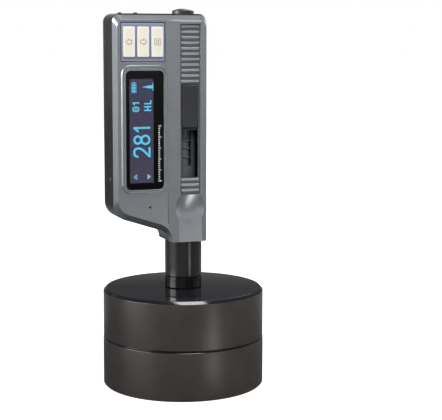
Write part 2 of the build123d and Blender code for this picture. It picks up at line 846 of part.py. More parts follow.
coil_inner = guide_bore / 2 + 2 * run_gap
coil_outer = coil_cavity_dia / 2 - seat_gap
coil_core = coil_inner + coil_core_wall
coil_top = coil_cavity_top - seat_gap
with BuildPart() as coil_bobbin:
    with BuildSketch(front):
        with BuildLine():
            Polyline(
                (coil_inner, coil_low),
                (coil_outer, coil_low),
                (coil_outer, coil_low + coil_flange),
                (coil_core, coil_low + coil_flange),
                (coil_core, coil_top - coil_flange),
                (coil_outer, coil_top - coil_flange),
                (coil_outer, coil_top),
                (coil_inner, coil_top),
                close=True,
            )
        make_face()
    revolve(axis=Axis.Z)
    with Locations((-lead_radius, 0, foot + coil_top)):
        Cylinder(lead_hole_dia / 2, 4 * coil_flange, mode=Mode.SUBTRACT)
write(coil_bobbin, "coil_bobbin")

winding_outer = lead_radius - lead_hole_dia / 2 - slip_gap
with BuildPart() as coil_winding:
    with BuildSketch(front):
        winding_height = coil_top - coil_low - 2 * coil_flange - 2 * seat_gap
        with Locations(((coil_core + winding_outer) / 2 + seat_gap / 2, (coil_low + coil_top) / 2)):
            Rectangle(winding_outer - coil_core - seat_gap, winding_height)
    revolve(axis=Axis.Z)
write(coil_winding, "coil_winding")

with BuildPart() as coil_lead:
    with BuildLine(level):
        pad_y = -board_back + lead_dia / 2 + seat_gap
        lead_path = FilletPolyline(
            (-lead_radius, 0, (coil_low + coil_top) / 2),
            (-lead_radius, 0, lead_top),
            (lead_end_x, pad_y, board_low),
            (lead_end_x, pad_y, board_low + lead_pad),
            radius=lead_bend,
        )
    with BuildSketch(Plane(origin=lead_path @ 0, z_dir=lead_path % 0)):
        Circle(lead_dia / 2)
    sweep()
write(coil_lead, "coil_lead")

with BuildPart() as guide_bush:
    with BuildSketch(front):
        with Locations(((guide_bore / 2 + bore_r) / 2, (guide_seat + guide_top) / 2)):
            Rectangle(bore_r - guide_bore / 2 - 2 * seat_gap, guide_top - guide_seat - 2 * seat_gap)
    revolve(axis=Axis.Z)
    chamfer(guide_bush.faces().sort_by(Axis.Z)[-1].edges(), length=0.3)
write(guide_bush, "guide_bush")

with BuildPart() as end_bush:
    with BuildSketch(front):
        with Locations(((rod_dia / 2 + run_gap + bore_r - seat_gap) / 2, tube_top - bush_height / 2)):
            Rectangle(bore_r - seat_gap - rod_dia / 2 - run_gap, bush_height)
    revolve(axis=Axis.Z)
    chamfer(end_bush.faces().sort_by(Axis.Z)[0].edges(), length=0.4)
write(end_bush, "end_bush")

# ================================================================ loading slider, carriage and chuck
slider_front = crest - slider_sink
slider_back = inner_front - seat_gap - slider_flange_thick
slider_mid = (slider_low + slider_high) / 2
stem_end = bore_r - run_gap - stem_pocket
with BuildPart() as load_slider:
    with BuildSketch(front.offset(inner_front - seat_gap)):
        with Locations((0, slider_mid)):
            RectangleRounded(slider_width, slider_high - slider_low, pocket_corner)
    extrude(amount=slider_front - inner_front + seat_gap)
    chamfer(load_slider.faces().sort_by(Axis.Y)[0].edges(), length=slider_bevel)
    # shallow thumb hollow, a large cylinder lying across the slider
    scoop_radius = (slider_high - slider_low - 2 * slider_bevel) ** 2 / (8 * slider_scoop)
    with Locations((0, -slider_front + slider_scoop - scoop_radius, foot + slider_mid)):
        Cylinder(scoop_radius, slider_width - 2 * slider_bevel - 1, rotation=(0, 90, 0), mode=Mode.SUBTRACT)
    with BuildSketch(front.offset(slider_back)):
        with Locations((0, slider_mid)):
            RectangleRounded(
                slider_width + 2 * slider_flange, slider_high - slider_low + 2 * slider_flange, pocket_corner
            )
    extrude(amount=slider_flange_thick)
    with BuildSketch(front.offset(stem_end)):
        with Locations((0, slider_mid)):
            Rectangle(slit_width - 2 * slip_gap, stem_height)
    extrude(amount=slider_back - stem_end)
write(load_slider, "load_slider")

carriage_r = bore_r - run_gap
chuck_r = guide_bore / 2 - run_gap
chuck_top = carriage_low + chuck_grip
with BuildPart() as carriage:
    with BuildSketch(front):
        with BuildLine():
            Polyline(
                (chuck_r + seat_gap, carriage_low),
                (carriage_r, carriage_low),
                (carriage_r, carriage_high),
                (carriage_bore / 2, carriage_high),
                (carriage_bore / 2, chuck_top + seat_gap),
                (chuck_r + seat_gap, chuck_top + seat_gap),
                close=True,
            )
        make_face()
    revolve(axis=Axis.Z)
    with BuildSketch(front.offset(bore_r)):
        with Locations((0, slider_mid)):
            Rectangle(slit_width - 2 * slip_gap + 2 * run_gap, stem_height + 2 * run_gap)
    extrude(amount=-(bore_r - stem_end + run_gap), mode=Mode.SUBTRACT)
write(carriage, "carriage")

with BuildPart() as catch_chuck:
    with BuildSketch(front):
        with BuildLine():
            Polyline(
                (chuck_r - chuck_wall - jaw_lip, chuck_low),
                (chuck_r - chuck_wall / 2, chuck_low),
                (chuck_r, chuck_low + 1),
                (chuck_r, chuck_top),
                (chuck_r - chuck_wall, chuck_top),
                (chuck_r - chuck_wall, chuck_low + 1.4),
                (chuck_r - chuck_wall - jaw_lip, chuck_low + 1),
                close=True,
            )
        make_face()
    revolve(axis=Axis.Z)
    with PolarLocations(0, 3):
        with Locations((chuck_r / 2 + 0.5, 0, foot + chuck_low + jaw_length / 2)):
            Box(chuck_r + 1, jaw_slot, jaw_length, mode=Mode.SUBTRACT)
write(catch_chuck, "catch_chuck")

# ================================================================ impact body, ball and magnet
ball_r = ball_dia / 2
ball_z = ball_r + ball_rise
head_r = guide_bore / 2 - run_gap
with BuildPart() as impact_body:
    with BuildSketch(front):
        with BuildLine():
            Polyline(
                (magnet_dia / 2 + run_gap, nose_top),
                (head_r, nose_top),
                (head_r, body_top - 1),
                (head_r - 1, body_top),
                (body_neck_dia / 2, body_top),
                (body_neck_dia / 2, body_knob_low),
                (body_knob_dia / 2, body_knob_low),
                (body_knob_dia / 2, body_knob_top - 1),
                (body_knob_dia / 2 - 0.9, body_knob_top),
                (0, body_knob_top),
                (0, nose_top + nose_spigot + magnet_length + run_gap),
                (magnet_dia / 2 + run_gap, nose_top + nose_spigot + magnet_length + run_gap),
                close=True,
            )
        make_face()
    revolve(axis=Axis.Z)
write(impact_body, "impact_body")

with BuildPart() as impact_nose:
    with BuildSketch(front):
        with BuildLine():
            Polyline(
                (0, ball_z),
                (ball_r * 0.9, ball_z),
                (head_r, nose_top - 2),
                (head_r, nose_top - seat_gap),
                (magnet_dia / 2, nose_top - seat_gap),
                (magnet_dia / 2, nose_top + nose_spigot - seat_gap),
                (0, nose_top + nose_spigot - seat_gap),
                close=True,
            )
        make_face()
    revolve(axis=Axis.Z)
    with Locations((0, 0, foot + ball_z)):
        Sphere(ball_r + 0.01, mode=Mode.SUBTRACT)
write(impact_nose, "impact_nose")

with BuildPart() as ball_tip:
    with Locations((0, 0, foot + ball_z)):
        Sphere(ball_r)
write(ball_tip, "ball_tip")

with BuildPart() as impact_magnet:
    with Locations((0, 0, foot + nose_top + nose_spigot + magnet_length / 2)):
        Cylinder(magnet_dia / 2, magnet_length - 2 * run_gap)
    chamfer(impact_magnet.edges().filter_by(GeomType.CIRCLE), length=0.2)
write(impact_magnet, "impact_magnet")

# ================================================================ release button and rod
button_r = button_dia / 2
button_top = case_top + button_proud
button_seat = case_top - wall - seat_gap
recess_r = button_r - button_wall
socket_low = button_seat - button_flange_thick
dome_ball = (button_r**2 + button_dome**2) / (2 * button_dome)
dome_mid = button_top - dome_ball + sqrt(dome_ball**2 - button_r**2 / 4)
with BuildPart() as release_button:
    with BuildSketch(front):
        with BuildLine():
            Polyline(
                (0, button_top),
                (0, socket_low + button_recess),
                (recess_r, socket_low + button_recess),
                (recess_r, socket_low),
                (button_r + button_lip, socket_low),
                (button_r + button_lip, button_seat),
                (button_r, button_seat),
                (button_r, button_top - button_dome),
            )
            ThreePointArc((button_r, button_top - button_dome), (button_r / 2, dome_mid), (0, button_top))
        make_face()
    revolve(axis=Axis.Z)
    with Locations((0, 0, foot + socket_low + rod_hold / 2)):
        Cylinder(rod_dia / 2 + run_gap, rod_hold, mode=Mode.SUBTRACT)
write(release_button, "release_button")

with BuildPart() as release_rod:
    with BuildSketch(front):
        with BuildLine():
            Polyline(
                (0, rod_low),
                (rod_dia / 2 - 0.3, rod_low),
                (rod_dia / 2, rod_low + 0.5),
                (rod_dia / 2, rod_collar),
                (rod_collar_dia / 2, rod_collar),
                (rod_collar_dia / 2, rod_collar + rod_collar_height),
                (rod_dia / 2, rod_collar + rod_collar_height),
                (rod_dia / 2, socket_low + rod_hold - seat_gap),
                (0, socket_low + rod_hold - seat_gap),
                close=True,
            )
        make_face()
    revolve(axis=Axis.Z)
write(release_rod, "release_rod")

# ================================================================ springs
impact_spring_low = body_knob_top + impact_rest_gap
recess_top = socket_low + button_recess
spring_rows = [
    # name, lower seat, upper seat, wire, turns, radius inside the coil
    ("loading_spring", guide_top, carriage_low, loading_wire, loading_turns, chuck_r + spring_slip),
    ("impact_spring", impact_spring_low, rod_collar, impact_wire, impact_turns, rod_dia / 2 + spring_slip),
    ("button_spring", tube_top, recess_top, button_wire, button_turns, recess_r - spring_slip - button_wire),
]
for name, low, high, wire, turns, inner in spring_rows:
    rise = high - low - 2 * seat_gap - wire
    start = (0, 0, foot + low + seat_gap + wire / 2)
    with BuildPart() as spring:
        with BuildLine():
            coil = Helix(pitch=rise / turns, height=rise, radius=inner + wire / 2, center=start)
        with BuildSketch(Plane(origin=coil @ 0, z_dir=coil % 0)):
            RegularPolygon(wire / 2, wire_sides)
        sweep(is_frenet=True)
    write(spring, name)
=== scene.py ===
import math
import re

import bmesh
import bpy
from mathutils import Matrix, Vector


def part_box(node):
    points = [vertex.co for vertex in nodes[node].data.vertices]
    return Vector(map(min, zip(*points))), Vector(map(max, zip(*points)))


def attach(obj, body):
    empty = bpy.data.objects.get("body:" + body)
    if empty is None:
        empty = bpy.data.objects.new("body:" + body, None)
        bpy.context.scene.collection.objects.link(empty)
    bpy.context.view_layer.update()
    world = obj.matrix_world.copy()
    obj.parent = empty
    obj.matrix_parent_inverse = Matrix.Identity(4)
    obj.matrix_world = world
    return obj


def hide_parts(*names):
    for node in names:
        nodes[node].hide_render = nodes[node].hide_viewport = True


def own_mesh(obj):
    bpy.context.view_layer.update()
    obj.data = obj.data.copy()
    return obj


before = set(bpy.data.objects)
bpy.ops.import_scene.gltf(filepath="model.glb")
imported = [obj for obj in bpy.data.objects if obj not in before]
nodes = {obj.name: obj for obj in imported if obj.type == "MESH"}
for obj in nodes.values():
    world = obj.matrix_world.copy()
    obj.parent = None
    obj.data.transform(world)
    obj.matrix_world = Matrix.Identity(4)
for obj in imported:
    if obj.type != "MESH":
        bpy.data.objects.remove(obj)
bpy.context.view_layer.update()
print("frame loaded:", len(nodes), "nodes")

mm = 0.001
foot = 0.055  # the tester's foot stands this high, on the block's test face


class Wire:
    # one output socket; arithmetic on it adds Math nodes
    def __init__(self, finish, socket):
        self.finish = finish
        self.socket = socket

    def calc(self, operation, *others, first=None):
        values = [self, *others] if first is None else [first, self]
        return self.finish.node("ShaderNodeMath", {"operation": operation}, dict(enumerate(values)))

    def __add__(self, other):
        return self.calc("ADD", other)

    def __radd__(self, other):
        return self.calc("ADD", first=other)

    def __sub__(self, other):
        return self.calc("SUBTRACT", other)

    def __rsub__(self, other):
        return self.calc("SUBTRACT", first=other)

    def __mul__(self, other):
        return self.calc("MULTIPLY", other)

    def __rmul__(self, other):
        return self.calc("MULTIPLY", first=other)

    def __truediv__(self, other):
        return self.calc("DIVIDE", other)

    def __rtruediv__(self, other):
        return self.calc("DIVIDE", first=other)

    def __abs__(self):
        return self.calc("ABSOLUTE")

    def larger(self, other):
        return self.calc("MAXIMUM", other)

    def smaller(self, other):
        return self.calc("MINIMUM", other)

    def between(self, low, high):
        # low where this is 0 and high where it is 1
        return self * (high - low) + low

    def ramp(self, low, high, start=0.0, end=1.0):
        # smooth step from start to end as the value goes from low to high
        settings = {"interpolation_type": "SMOOTHSTEP", "clamp": True}
        values = {0: self, 1: low, 2: high, 3: start, 4: end}
        return self.finish.node("ShaderNodeMapRange", settings, values)


class Finish:
    # a material, or the world, whose nodes are added by calls
    def __init__(self, name, owner=None):
        self.data = owner or bpy.data.materials.new(name)
        self.data.use_nodes = True
        self.tree = self.data.node_tree
        self.tree.nodes.clear()

    def node(self, kind, settings=None, values=None, pick=0):
        # pick is the output to use, or a tuple of several
        made = self.tree.nodes.new(kind)
        for name, setting in (settings or {}).items():
            setattr(made, name, setting)
        for socket, value in (values or {}).items():
            if isinstance(value, Wire):
                self.tree.links.new(value.socket, made.inputs[socket])
            else:
                made.inputs[socket].default_value = value
        if isinstance(pick, tuple):
            return [Wire(self, made.outputs[each]) for each in pick]
        return Wire(self, made.outputs[pick]) if len(made.outputs) else None

    def place(self, stretch=(1, 1, 1), centre=(0, 0, 0)):
        # the piece's own coordinates in metres, stretched about a centre
        shift = tuple(-c * s for c, s in zip(centre, stretch))
        coordinates = self.node("ShaderNodeTexCoord", pick="Object")
        values = {"Vector": coordinates, "Scale": stretch, "Location": shift}
        return self.node("ShaderNodeMapping", None, values)

    def axes(self, vector):
        return self.node("ShaderNodeSeparateXYZ", None, {0: vector}, pick=("X", "Y", "Z"))

    def noise(self, size, detail=2.0, rough=0.5, stretch=(1, 1, 1)):
        # size is a feature's size in metres
        values = {"Vector": self.place(stretch), "Scale": 1 / size, "Detail": detail, "Roughness": rough}
        return self.node("ShaderNodeTexNoise", None, values)

    def mix(self, factor, first, second):
        def filled(colour):
            return colour if isinstance(colour, Wire) else (*colour, 1.0)
        values = {0: factor, 6: filled(first), 7: filled(second)}
        return self.node("ShaderNodeMix", {"data_type": "RGBA"}, values, pick=2)

    def rounded(self, radius):
        return self.node("ShaderNodeBevel", {"samples": 6}, {"Radius": radius})

    def edges(self, radius, gain=6.0):
        # 1 along edges that turn within the radius, 0 on flat ground
        flat = self.node("ShaderNodeNewGeometry", pick="Normal")
        values = {0: self.rounded(radius), 1: flat}
        along = self.node("ShaderNodeVectorMath", {"operation": "DOT_PRODUCT"}, values, pick="Value")
        return ((1 - along) * gain).smaller(1)

    def bump(self, height, strength, depth, normal=None):
        values = {"Height": height, "Strength": strength, "Distance": depth}
        if normal:
            values["Normal"] = normal
        return self.node("ShaderNodeBump", None, values)

    def shader(self, **sockets):
        # socket names in camelCase, such as baseColor for Base Color
        values = {}
        for name, value in sockets.items():
            words = re.sub("([A-Z][a-z]|IOR)", r" \1", name).replace("ior", "IOR")
            title = words[0].upper() + words[1:]
            values[title] = (*value, 1.0) if isinstance(value, tuple) else value
        return self.node("ShaderNodeBsdfPrincipled", None, values)

    def shown(self, shader):
        self.node("ShaderNodeOutputMaterial", None, {"Surface": shader})
        return self.data

    def surface(self, **sockets):
        return self.shown(self.shader(**sockets))


def tone(red, green, blue):
    # a colour as a screen shows it, 0 to 255, made linear
    def linear(value):
        share = value / 255
        return share / 12.92 if share <= 0.04045 else ((share + 0.055) / 1.055) ** 2.4
    return linear(red), linear(green), linear(blue)


def shaded(colour, share):
    return tuple(c * share for c in colour)


def dress(names, material):
    for name in names:
        mesh = nodes[name].data
        mesh.materials.clear()
        mesh.materials.append(material)


cameraSetting = {
    "place": (-0.2173, -0.6693, 0.1956),
    "looks": (0.3342, 0.9325, -0.1370),
    "roll": 0.18,  # degrees
    "lens": 103.0,
    "sensor": 36,
    "nearest": 0.01,
}


def makeCamera(setting):
    data = bpy.data.cameras.new("viewCamera")
    data.lens = setting["lens"]
    data.sensor_width = setting["sensor"]
    data.clip_start = setting["nearest"]
    camera = bpy.data.objects.new("viewCamera", data)
    bpy.context.scene.collection.objects.link(camera)
    turn = Vector(setting["looks"]).to_track_quat("-Z", "Y").to_matrix().to_4x4()
    roll = Matrix.Rotation(math.radians(setting["roll"]), 4, "Z")
    camera.matrix_world = Matrix.Translation(setting["place"]) @ turn @ roll
    bpy.context.scene.camera = camera


makeCamera(cameraSetting)
bpy.context.scene.view_settings.view_transform = "Standard"
print("camera set")


stageSetting = {
    "floorSize": 8.0,
    "floorTone": 0.42,
    "fleck": 0.02,  # size of the floor's faint flecks
    "fleckTone": 1.03,  # and their tone, as a share of the floor's
    "floorGlow": 0.96,  # what camera, glossy and transmitted rays see on top of the lit floor
    "roomLevel": 0.26,  # what the white room gives as light
}

lampSetting = {
    # name: centre, facing, width, height, power in watts, lights matt surfaces, seen in reflections
    "leftSoftbox": ((-1.20, -0.04, 0.54), (1.20, 0.04, -0.40), 0.90, 0.80, 38.0, False, True),
    "floorStrip": ((0.095, -0.235, 0.003), (-0.0044, 0.0090, 1), 0.038, 0.34, 0.25, False, True),
    "topSoftbox": ((0.04, -0.24, 1.00), (-0.04, 0.20, -0.94), 0.42, 0.34, 6.0, True, True),
    "backFill": ((0.85, 1.20, 0.90), (-0.85, -1.20, -0.79), 0.90, 0.90, 11.0, True, True),
    "frontFill": ((-0.12, -0.75, 0.75), (0.12, 0.75, -0.63), 0.50, 0.50, 8.1, True, False),
}

flagSetting = {
    # cards that only reflections see: centre, facing, width, height, grey at the low and the high edge
    "flagBehind": ((0.045, 0.125, 0.05), (-0.33, -0.93, 0.0), 0.40, 0.10, 0.50, 0.10),
    "flagFront": ((0.22, -0.50, 0.19), (-0.42, 0.90, 0.0), 0.60, 0.42, 0.15, 0.85),
    "flagLeftBack": ((-0.17, 0.50, 0.16), (0.32, -0.95, 0.0), 0.42, 0.40, 0.20, 0.26),
    "flagFloor": ((0.10, -0.48, 0.0006), (0, 0, 1), 1.80, 1.20, 0.14, 0.14),
    "flagBackLeft": ((-0.42, 0.51, 0.0006), (0, 0, 1), 0.80, 0.78, 0.22, 0.22),
    "flagBackRight": ((0.48, 0.51, 0.0006), (0, 0, 1), 1.00, 0.78, 0.55, 0.55),
    "flagBehindTop": ((0.045, 0.125, 0.125), (-0.33, -0.93, 0.0), 0.40, 0.05, 0.10, 0.10),
    "flagAbove": ((0.0, 0.0, 1.15), (0, 0, -1), 5.00, 5.00, 0.12, 0.12),
}


def seenRays(finish):
    # 1 for rays that the picture is made of, 0 for those that only bring light
    rays = ("Is Camera Ray", "Is Glossy Ray", "Is Transmission Ray")
    camera, glossy, through = finish.node("ShaderNodeLightPath", pick=rays)
    return camera.larger(glossy).larger(through)


def facing(towards, axis):
    return Vector(towards).to_track_quat(axis, "Y").to_matrix().to_4x4()


def makeCard(name, centre, towards, width, height, material):
    mesh = bpy.data.meshes.new(name)
    w, h = width / 2, height / 2
    mesh.from_pydata([(-w, -h, 0), (w, -h, 0), (w, h, 0), (-w, h, 0)], [], [(0, 1, 2, 3)])
    mesh.materials.append(material)
    card = bpy.data.objects.new(name, mesh)
    bpy.context.scene.collection.objects.link(card)
    card.matrix_world = Matrix.Translation(centre) @ facing(towards, "Z")
    return card


def makeStage(setting):
    room = Finish("", bpy.context.scene.world or bpy.data.worlds.new("room"))
    bpy.context.scene.world = room.data
    level = seenRays(room).between(setting["roomLevel"], 1.0)
    sky = room.node("ShaderNodeBackground", None, {"Color": (1, 1, 1, 1), "Strength": level})
    room.node("ShaderNodeOutputWorld", None, {"Surface": sky})

    paper = Finish("paleFloor")
    base = (setting["floorTone"],) * 3
    paper.surface(
        baseColor=paper.mix(paper.noise(setting["fleck"], 3), base, shaded(base, setting["fleckTone"])),
        roughness=0.9,
        specularIORLevel=0.0,
        emissionColor=(1.0, 1.0, 1.0),
        emissionStrength=seenRays(paper) * setting["floorGlow"],
    )
    size = setting["floorSize"]
    makeCard("floor", (0, 0, 0), (0, 0, 1), size, size, paper.data)


def makeLamps(lamps):
    for name, (centre, towards, width, height, power, matt, shiny) in lamps.items():
        data = bpy.data.lights.new(name, "AREA")
        data.shape = "RECTANGLE"
        data.size, data.size_y = width, height
        data.energy = power
        lamp = bpy.data.objects.new(name, data)
        bpy.context.scene.collection.objects.link(lamp)
        lamp.matrix_world = Matrix.Translation(centre) @ facing(towards, "-Z")
        lamp.visible_diffuse = matt
        lamp.visible_glossy = shiny


def makeFlags(flags):
    for name, (centre, towards, width, height, low, high) in flags.items():
        cloth = Finish(name)
        up = cloth.axes(cloth.place())[1]
        shade = up.ramp(-height / 3, height / 3, low, high)
        glow = cloth.node("ShaderNodeEmission", None, {"Color": (1, 1, 1, 1), "Strength": shade})
        cloth.shown(glow)
        card = makeCard(name, centre, towards, width, height, cloth.data)
        card.visible_camera = False
        card.visible_diffuse = False
        card.visible_shadow = False
        card.visible_transmission = False


makeStage(stageSetting)
makeLamps(lampSetting)
makeFlags(flagSetting)
print("stage and lights made")


mouldedGrain = {
    # sizes of the grain, of the wear along edges and of the clouds of colour, in metres
    "grain": 0.00035,
    "wear": 0.004,
    "cloud": 0.018,
    "drift": 0.05,  # how far the colour goes to either side
    "grainMatt": 0.16,  # how far the grain and the clouds move the roughness
    "cloudMatt": 0.06,
    "wearStarts": (0.35, 0.65),  # noise over which an edge goes from partly to fully worn
    "partly": 0.45,
    "edgeRound": 0.00028,
    "bump": 0.22,
    "depth": 0.00006,
}

paintedShadeSetting = {
    # painted shade on the front shell, in millimetres: a dark line on the lip under the top, and a darker
    # channel floor round the ribs, where little light reaches
    "colour": tone(46, 46, 52),
    "lip": (206.0, 206.4),
    "channelHalf": (5.75, 5.85),
    "channelFoot": (108.4, 108.5),
    "channelTop": (201.7, 201.8),
    "floorDepth": (-12.75, -12.35),
    "slotDepth": (-11.9, -11.8),
    "floorShare": 0.55,
}

mouldedSetting = {
    # piece: finish, colour, colour of worn edges, roughness, how worn, metallic flake, specular level,
    # painted shade
    "front_shell": ("shellGrey", (134, 138, 142), (168, 173, 180), 0.30, 0.35, 0.6, 0.42, paintedShadeSetting),
    "rear_shell": ("shellCharcoal", (46, 46, 52), (110, 110, 118), 0.30, 0.35, 0.0, 0.30, None),
    "load_slider": ("sliderBlack", (46, 46, 50), (90, 90, 96), 0.36, 0.25, 0.0, 0.30, None),
    "release_button": ("buttonBlack", (38, 38, 42), (80, 80, 86), 0.40, 0.30, 0.0, 0.42, None),
}


def paintedShellShade(plastic, paintedShade):
    # painted shade: a mask that is 1 on the lip under the top and partly 1 on the channel's floor round the
    # ribs
    x, y, z = plastic.axes(plastic.place((1 / mm,) * 3))
    across = abs(x).ramp(*paintedShade["channelHalf"], 1.0, 0.0)
    along = z.ramp(*paintedShade["channelFoot"]) * z.ramp(*paintedShade["channelTop"], 1.0, 0.0)
    deep = y.ramp(*paintedShade["floorDepth"]) * y.ramp(*paintedShade["slotDepth"], 1.0, 0.0)
    return (across * along * deep * paintedShade["floorShare"]).larger(z.ramp(*paintedShade["lip"]))


def mouldedPlastic(name, colour, edge, roughness, edgeShare, flake, level, paintedShade):
    s = mouldedGrain
    plastic = Finish(name)
    grain = plastic.noise(s["grain"], 2, 0.6)
    cloud = plastic.noise(s["cloud"], 3, 0.55)
    wear = plastic.noise(s["wear"], 2).ramp(*s["wearStarts"], s["partly"], 1.0)
    worn = plastic.edges(s["edgeRound"]) * wear
    dark, light = (shaded(tone(*colour), 1 + drift) for drift in (-s["drift"], s["drift"]))
    body = plastic.mix(grain * 0.5 + cloud * 0.5, dark, light)
    # the front shell's painted shade, mixed into its colour
    if paintedShade:
        body = plastic.mix(paintedShellShade(plastic, paintedShade), body, paintedShade["colour"])
    return plastic.surface(
        baseColor=plastic.mix(worn * edgeShare, body, tone(*edge)),
        metallic=flake,
        roughness=(grain - 0.5) * s["grainMatt"] + (cloud - 0.5) * s["cloudMatt"] + roughness,
        specularIORLevel=level,
        normal=plastic.bump(grain, s["bump"], s["depth"], plastic.rounded(s["edgeRound"])),
    )


for shell, row in mouldedSetting.items():
    dress([shell], mouldedPlastic(*row))


keyNames = ("key_left", "key_middle", "key_right")

keySetting = {
    "ivory": (tone(210, 205, 190), tone(218, 212, 196)),
    "rim": tone(222, 222, 224),
    # where the rim's shade starts and is full, as shares of the cap's half width and half height
    "rimAcross": (0.45, 1.0),
    "rimUp": (0.80, 1.0),
    "speck": 0.0006,
    "speckDepth": 0.00003,
    "speckBump": 0.1,
    "edgeRound": 0.0003,
    "roughness": (0.34, 0.44),
}


def keyCap(key, setting):
    # ivory in the middle and whiter towards the rim
    low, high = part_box(key)
    half = (high - low) / 2
    cap = Finish(key + "Ivory")
    x, _, z = cap.axes(cap.place((1 / half.x, 1, 1 / half.z), (low + high) / 2))
    rim = abs(x).ramp(*setting["rimAcross"]).larger(abs(z).ramp(*setting["rimUp"]))
    speck = cap.noise(setting["speck"], 2)
    edge = cap.rounded(setting["edgeRound"])
    return cap.surface(
        baseColor=cap.mix(rim, cap.mix(speck, *setting["ivory"]), setting["rim"]),
        roughness=speck.between(*setting["roughness"]),
        specularIORLevel=0.5,
        normal=cap.bump(speck, setting["speckBump"], setting["speckDepth"], edge),
    )


for keyName in keyNames:
    dress([keyName], keyCap(keyName, keySetting))


plateSetting = {
    "outline": tone(44, 44, 62),
    "line": tone(168, 172, 188),
    "foot": tone(104, 106, 124),
    "head": tone(122, 127, 146),
    # in from the plate's edge, in millimetres
    "outlineEnds": (0.35, 0.55),
    "lineStarts": (0.55, 0.75),
    "lineEnds": (1.0, 1.3),
    "lineShare": 0.5,
    "speck": 0.0008,
    "speckDepth": 0.00003,
    "speckBump": 0.15,
    "roughness": (0.36, 0.46),
}


def framedPlate(piece, setting):
    # lavender grey with a dark outline and a pale line just inside it
    low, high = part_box(piece)
    half = (high - low) / 2
    plate = Finish("plateLavender")
    x, _, z = plate.axes(plate.place((1, 1, 1), (low + high) / 2))
    inward = (half.x - abs(x)).smaller(half.z - abs(z)) / mm
    outline = inward.ramp(*setting["outlineEnds"], 1.0, 0.0)
    paleLine = inward.ramp(*setting["lineStarts"]) * inward.ramp(*setting["lineEnds"], 1.0, 0.0)
    speck = plate.noise(setting["speck"], 2)
    body = plate.mix(z.ramp(-half.z, half.z), setting["foot"], setting["head"])
    lined = plate.mix(paleLine * setting["lineShare"], body, setting["line"])
    return plate.surface(
        baseColor=plate.mix(outline, lined, setting["outline"]),
        roughness=speck.between(*setting["roughness"]),
        normal=plate.bump(speck, setting["speckBump"], setting["speckDepth"]),
    )


dress(["key_plate"], framedPlate("key_plate", plateSetting))


latheSetting = {
    # sizes are in metres
    "squeeze": (0.02, 0.02, 1),  # noise drawn out round the axis, so that it makes rings
    "cloud": 0.012,
    "ringMatt": 0.08,  # how far the rings and the clouds move the roughness
    "cloudMatt": 0.10,
    "bump": 0.25,
    "edgeRound": 0.00025,
    "turn": 0.25,  # of the highlight's stretch, which runs along the axis
}

paintedSlotLight = {
    # painted light: finish, height from which the tube is painted lighter inside the case where the slot
    # shows it, how far the change takes, and the colour from there up
    "tubeBlack": (84.0 * mm, 0.5 * mm, tone(74, 74, 79)),
}

brightPieces = [
    "impact_body", "impact_nose", "release_rod", "impact_spring", "button_spring",
    "usb_socket", "key_switches",
]

metalSetting = {
    # finish: two shades, roughness, stretch of the highlight, metallic, specular level, width and depth of
    # the rings in metres, pieces
    "tubeBlack": ((26, 24, 25), (36, 33, 34), 0.23, 0.5, 0.0, 0.55, 0.00025, 0.00001, ["guide_tube"]),
    "ringBlack": ((10, 10, 11), (16, 15, 16), 0.18, 0.5, 0.0, 0.22, 0.00025, 0.00001, ["support_ring"]),
    "chuckGrey": ((84, 84, 90), (90, 90, 96), 0.60, 0.0, 0.0, 0.5, 0.0003, 0.00001, ["catch_chuck"]),
    "steelBlued": ((76, 76, 81), (84, 84, 89), 0.45, 0.3, 0.3, 0.5, 0.0003, 0.00002, ["carriage"]),
    "screwPale": ((176, 176, 180), (196, 196, 200), 0.36, 0.2, 0.4, 0.5, 0.0003, 0.00001, ["side_screw"]),
    "steelDark": ((70, 70, 73), (92, 92, 95), 0.34, 0.3, 0.9, 0.5, 0.0003, 0.00002, ["case_screws"]),
    "steelBright": ((150, 150, 152), (172, 172, 175), 0.28, 0.4, 1.0, 0.5, 0.0003, 0.00002, brightPieces),
    "bronzeBush": (
        (150, 110, 66), (172, 130, 84), 0.32, 0.3, 1.0, 0.5, 0.0003, 0.00002,
        ["guide_bush", "end_bush"],
    ),
    "carbideBall": (
        (120, 120, 124), (140, 140, 144), 0.10, 0.0, 1.0, 0.5, 0.001, 0.000001,
        ["ball_tip", "impact_magnet"],
    ),
}


def turnedMetal(name, dark, light, roughness, spread, metallic, level, width, depth):
    # fine rings cut by a lathe tool, which stretch a highlight along the axis
    s = latheSetting
    metal = Finish(name)
    rings = metal.noise(width, 2, 0.6, s["squeeze"])
    cloud = metal.noise(s["cloud"], 4, 0.6)
    body = metal.mix(cloud, tone(*dark), tone(*light))
    if name in paintedSlotLight:
        # painted light on the tube inside the case, seen through the slot
        height, change, slotLitColour = paintedSlotLight[name]
        body = metal.mix(metal.axes(metal.place())[2].ramp(height, height + change), body, slotLitColour)
    return metal.surface(
        baseColor=body,
        metallic=metallic,
        roughness=(rings - 0.5) * s["ringMatt"] + (cloud - 0.5) * s["cloudMatt"] + roughness,
        specularIORLevel=level,
        anisotropic=spread,
        anisotropicRotation=s["turn"],
        normal=metal.bump(rings, s["bump"], depth, metal.rounded(s["edgeRound"])),
    )


for finish, (*row, pieces) in metalSetting.items():
    dress(pieces, turnedMetal(finish, *row))


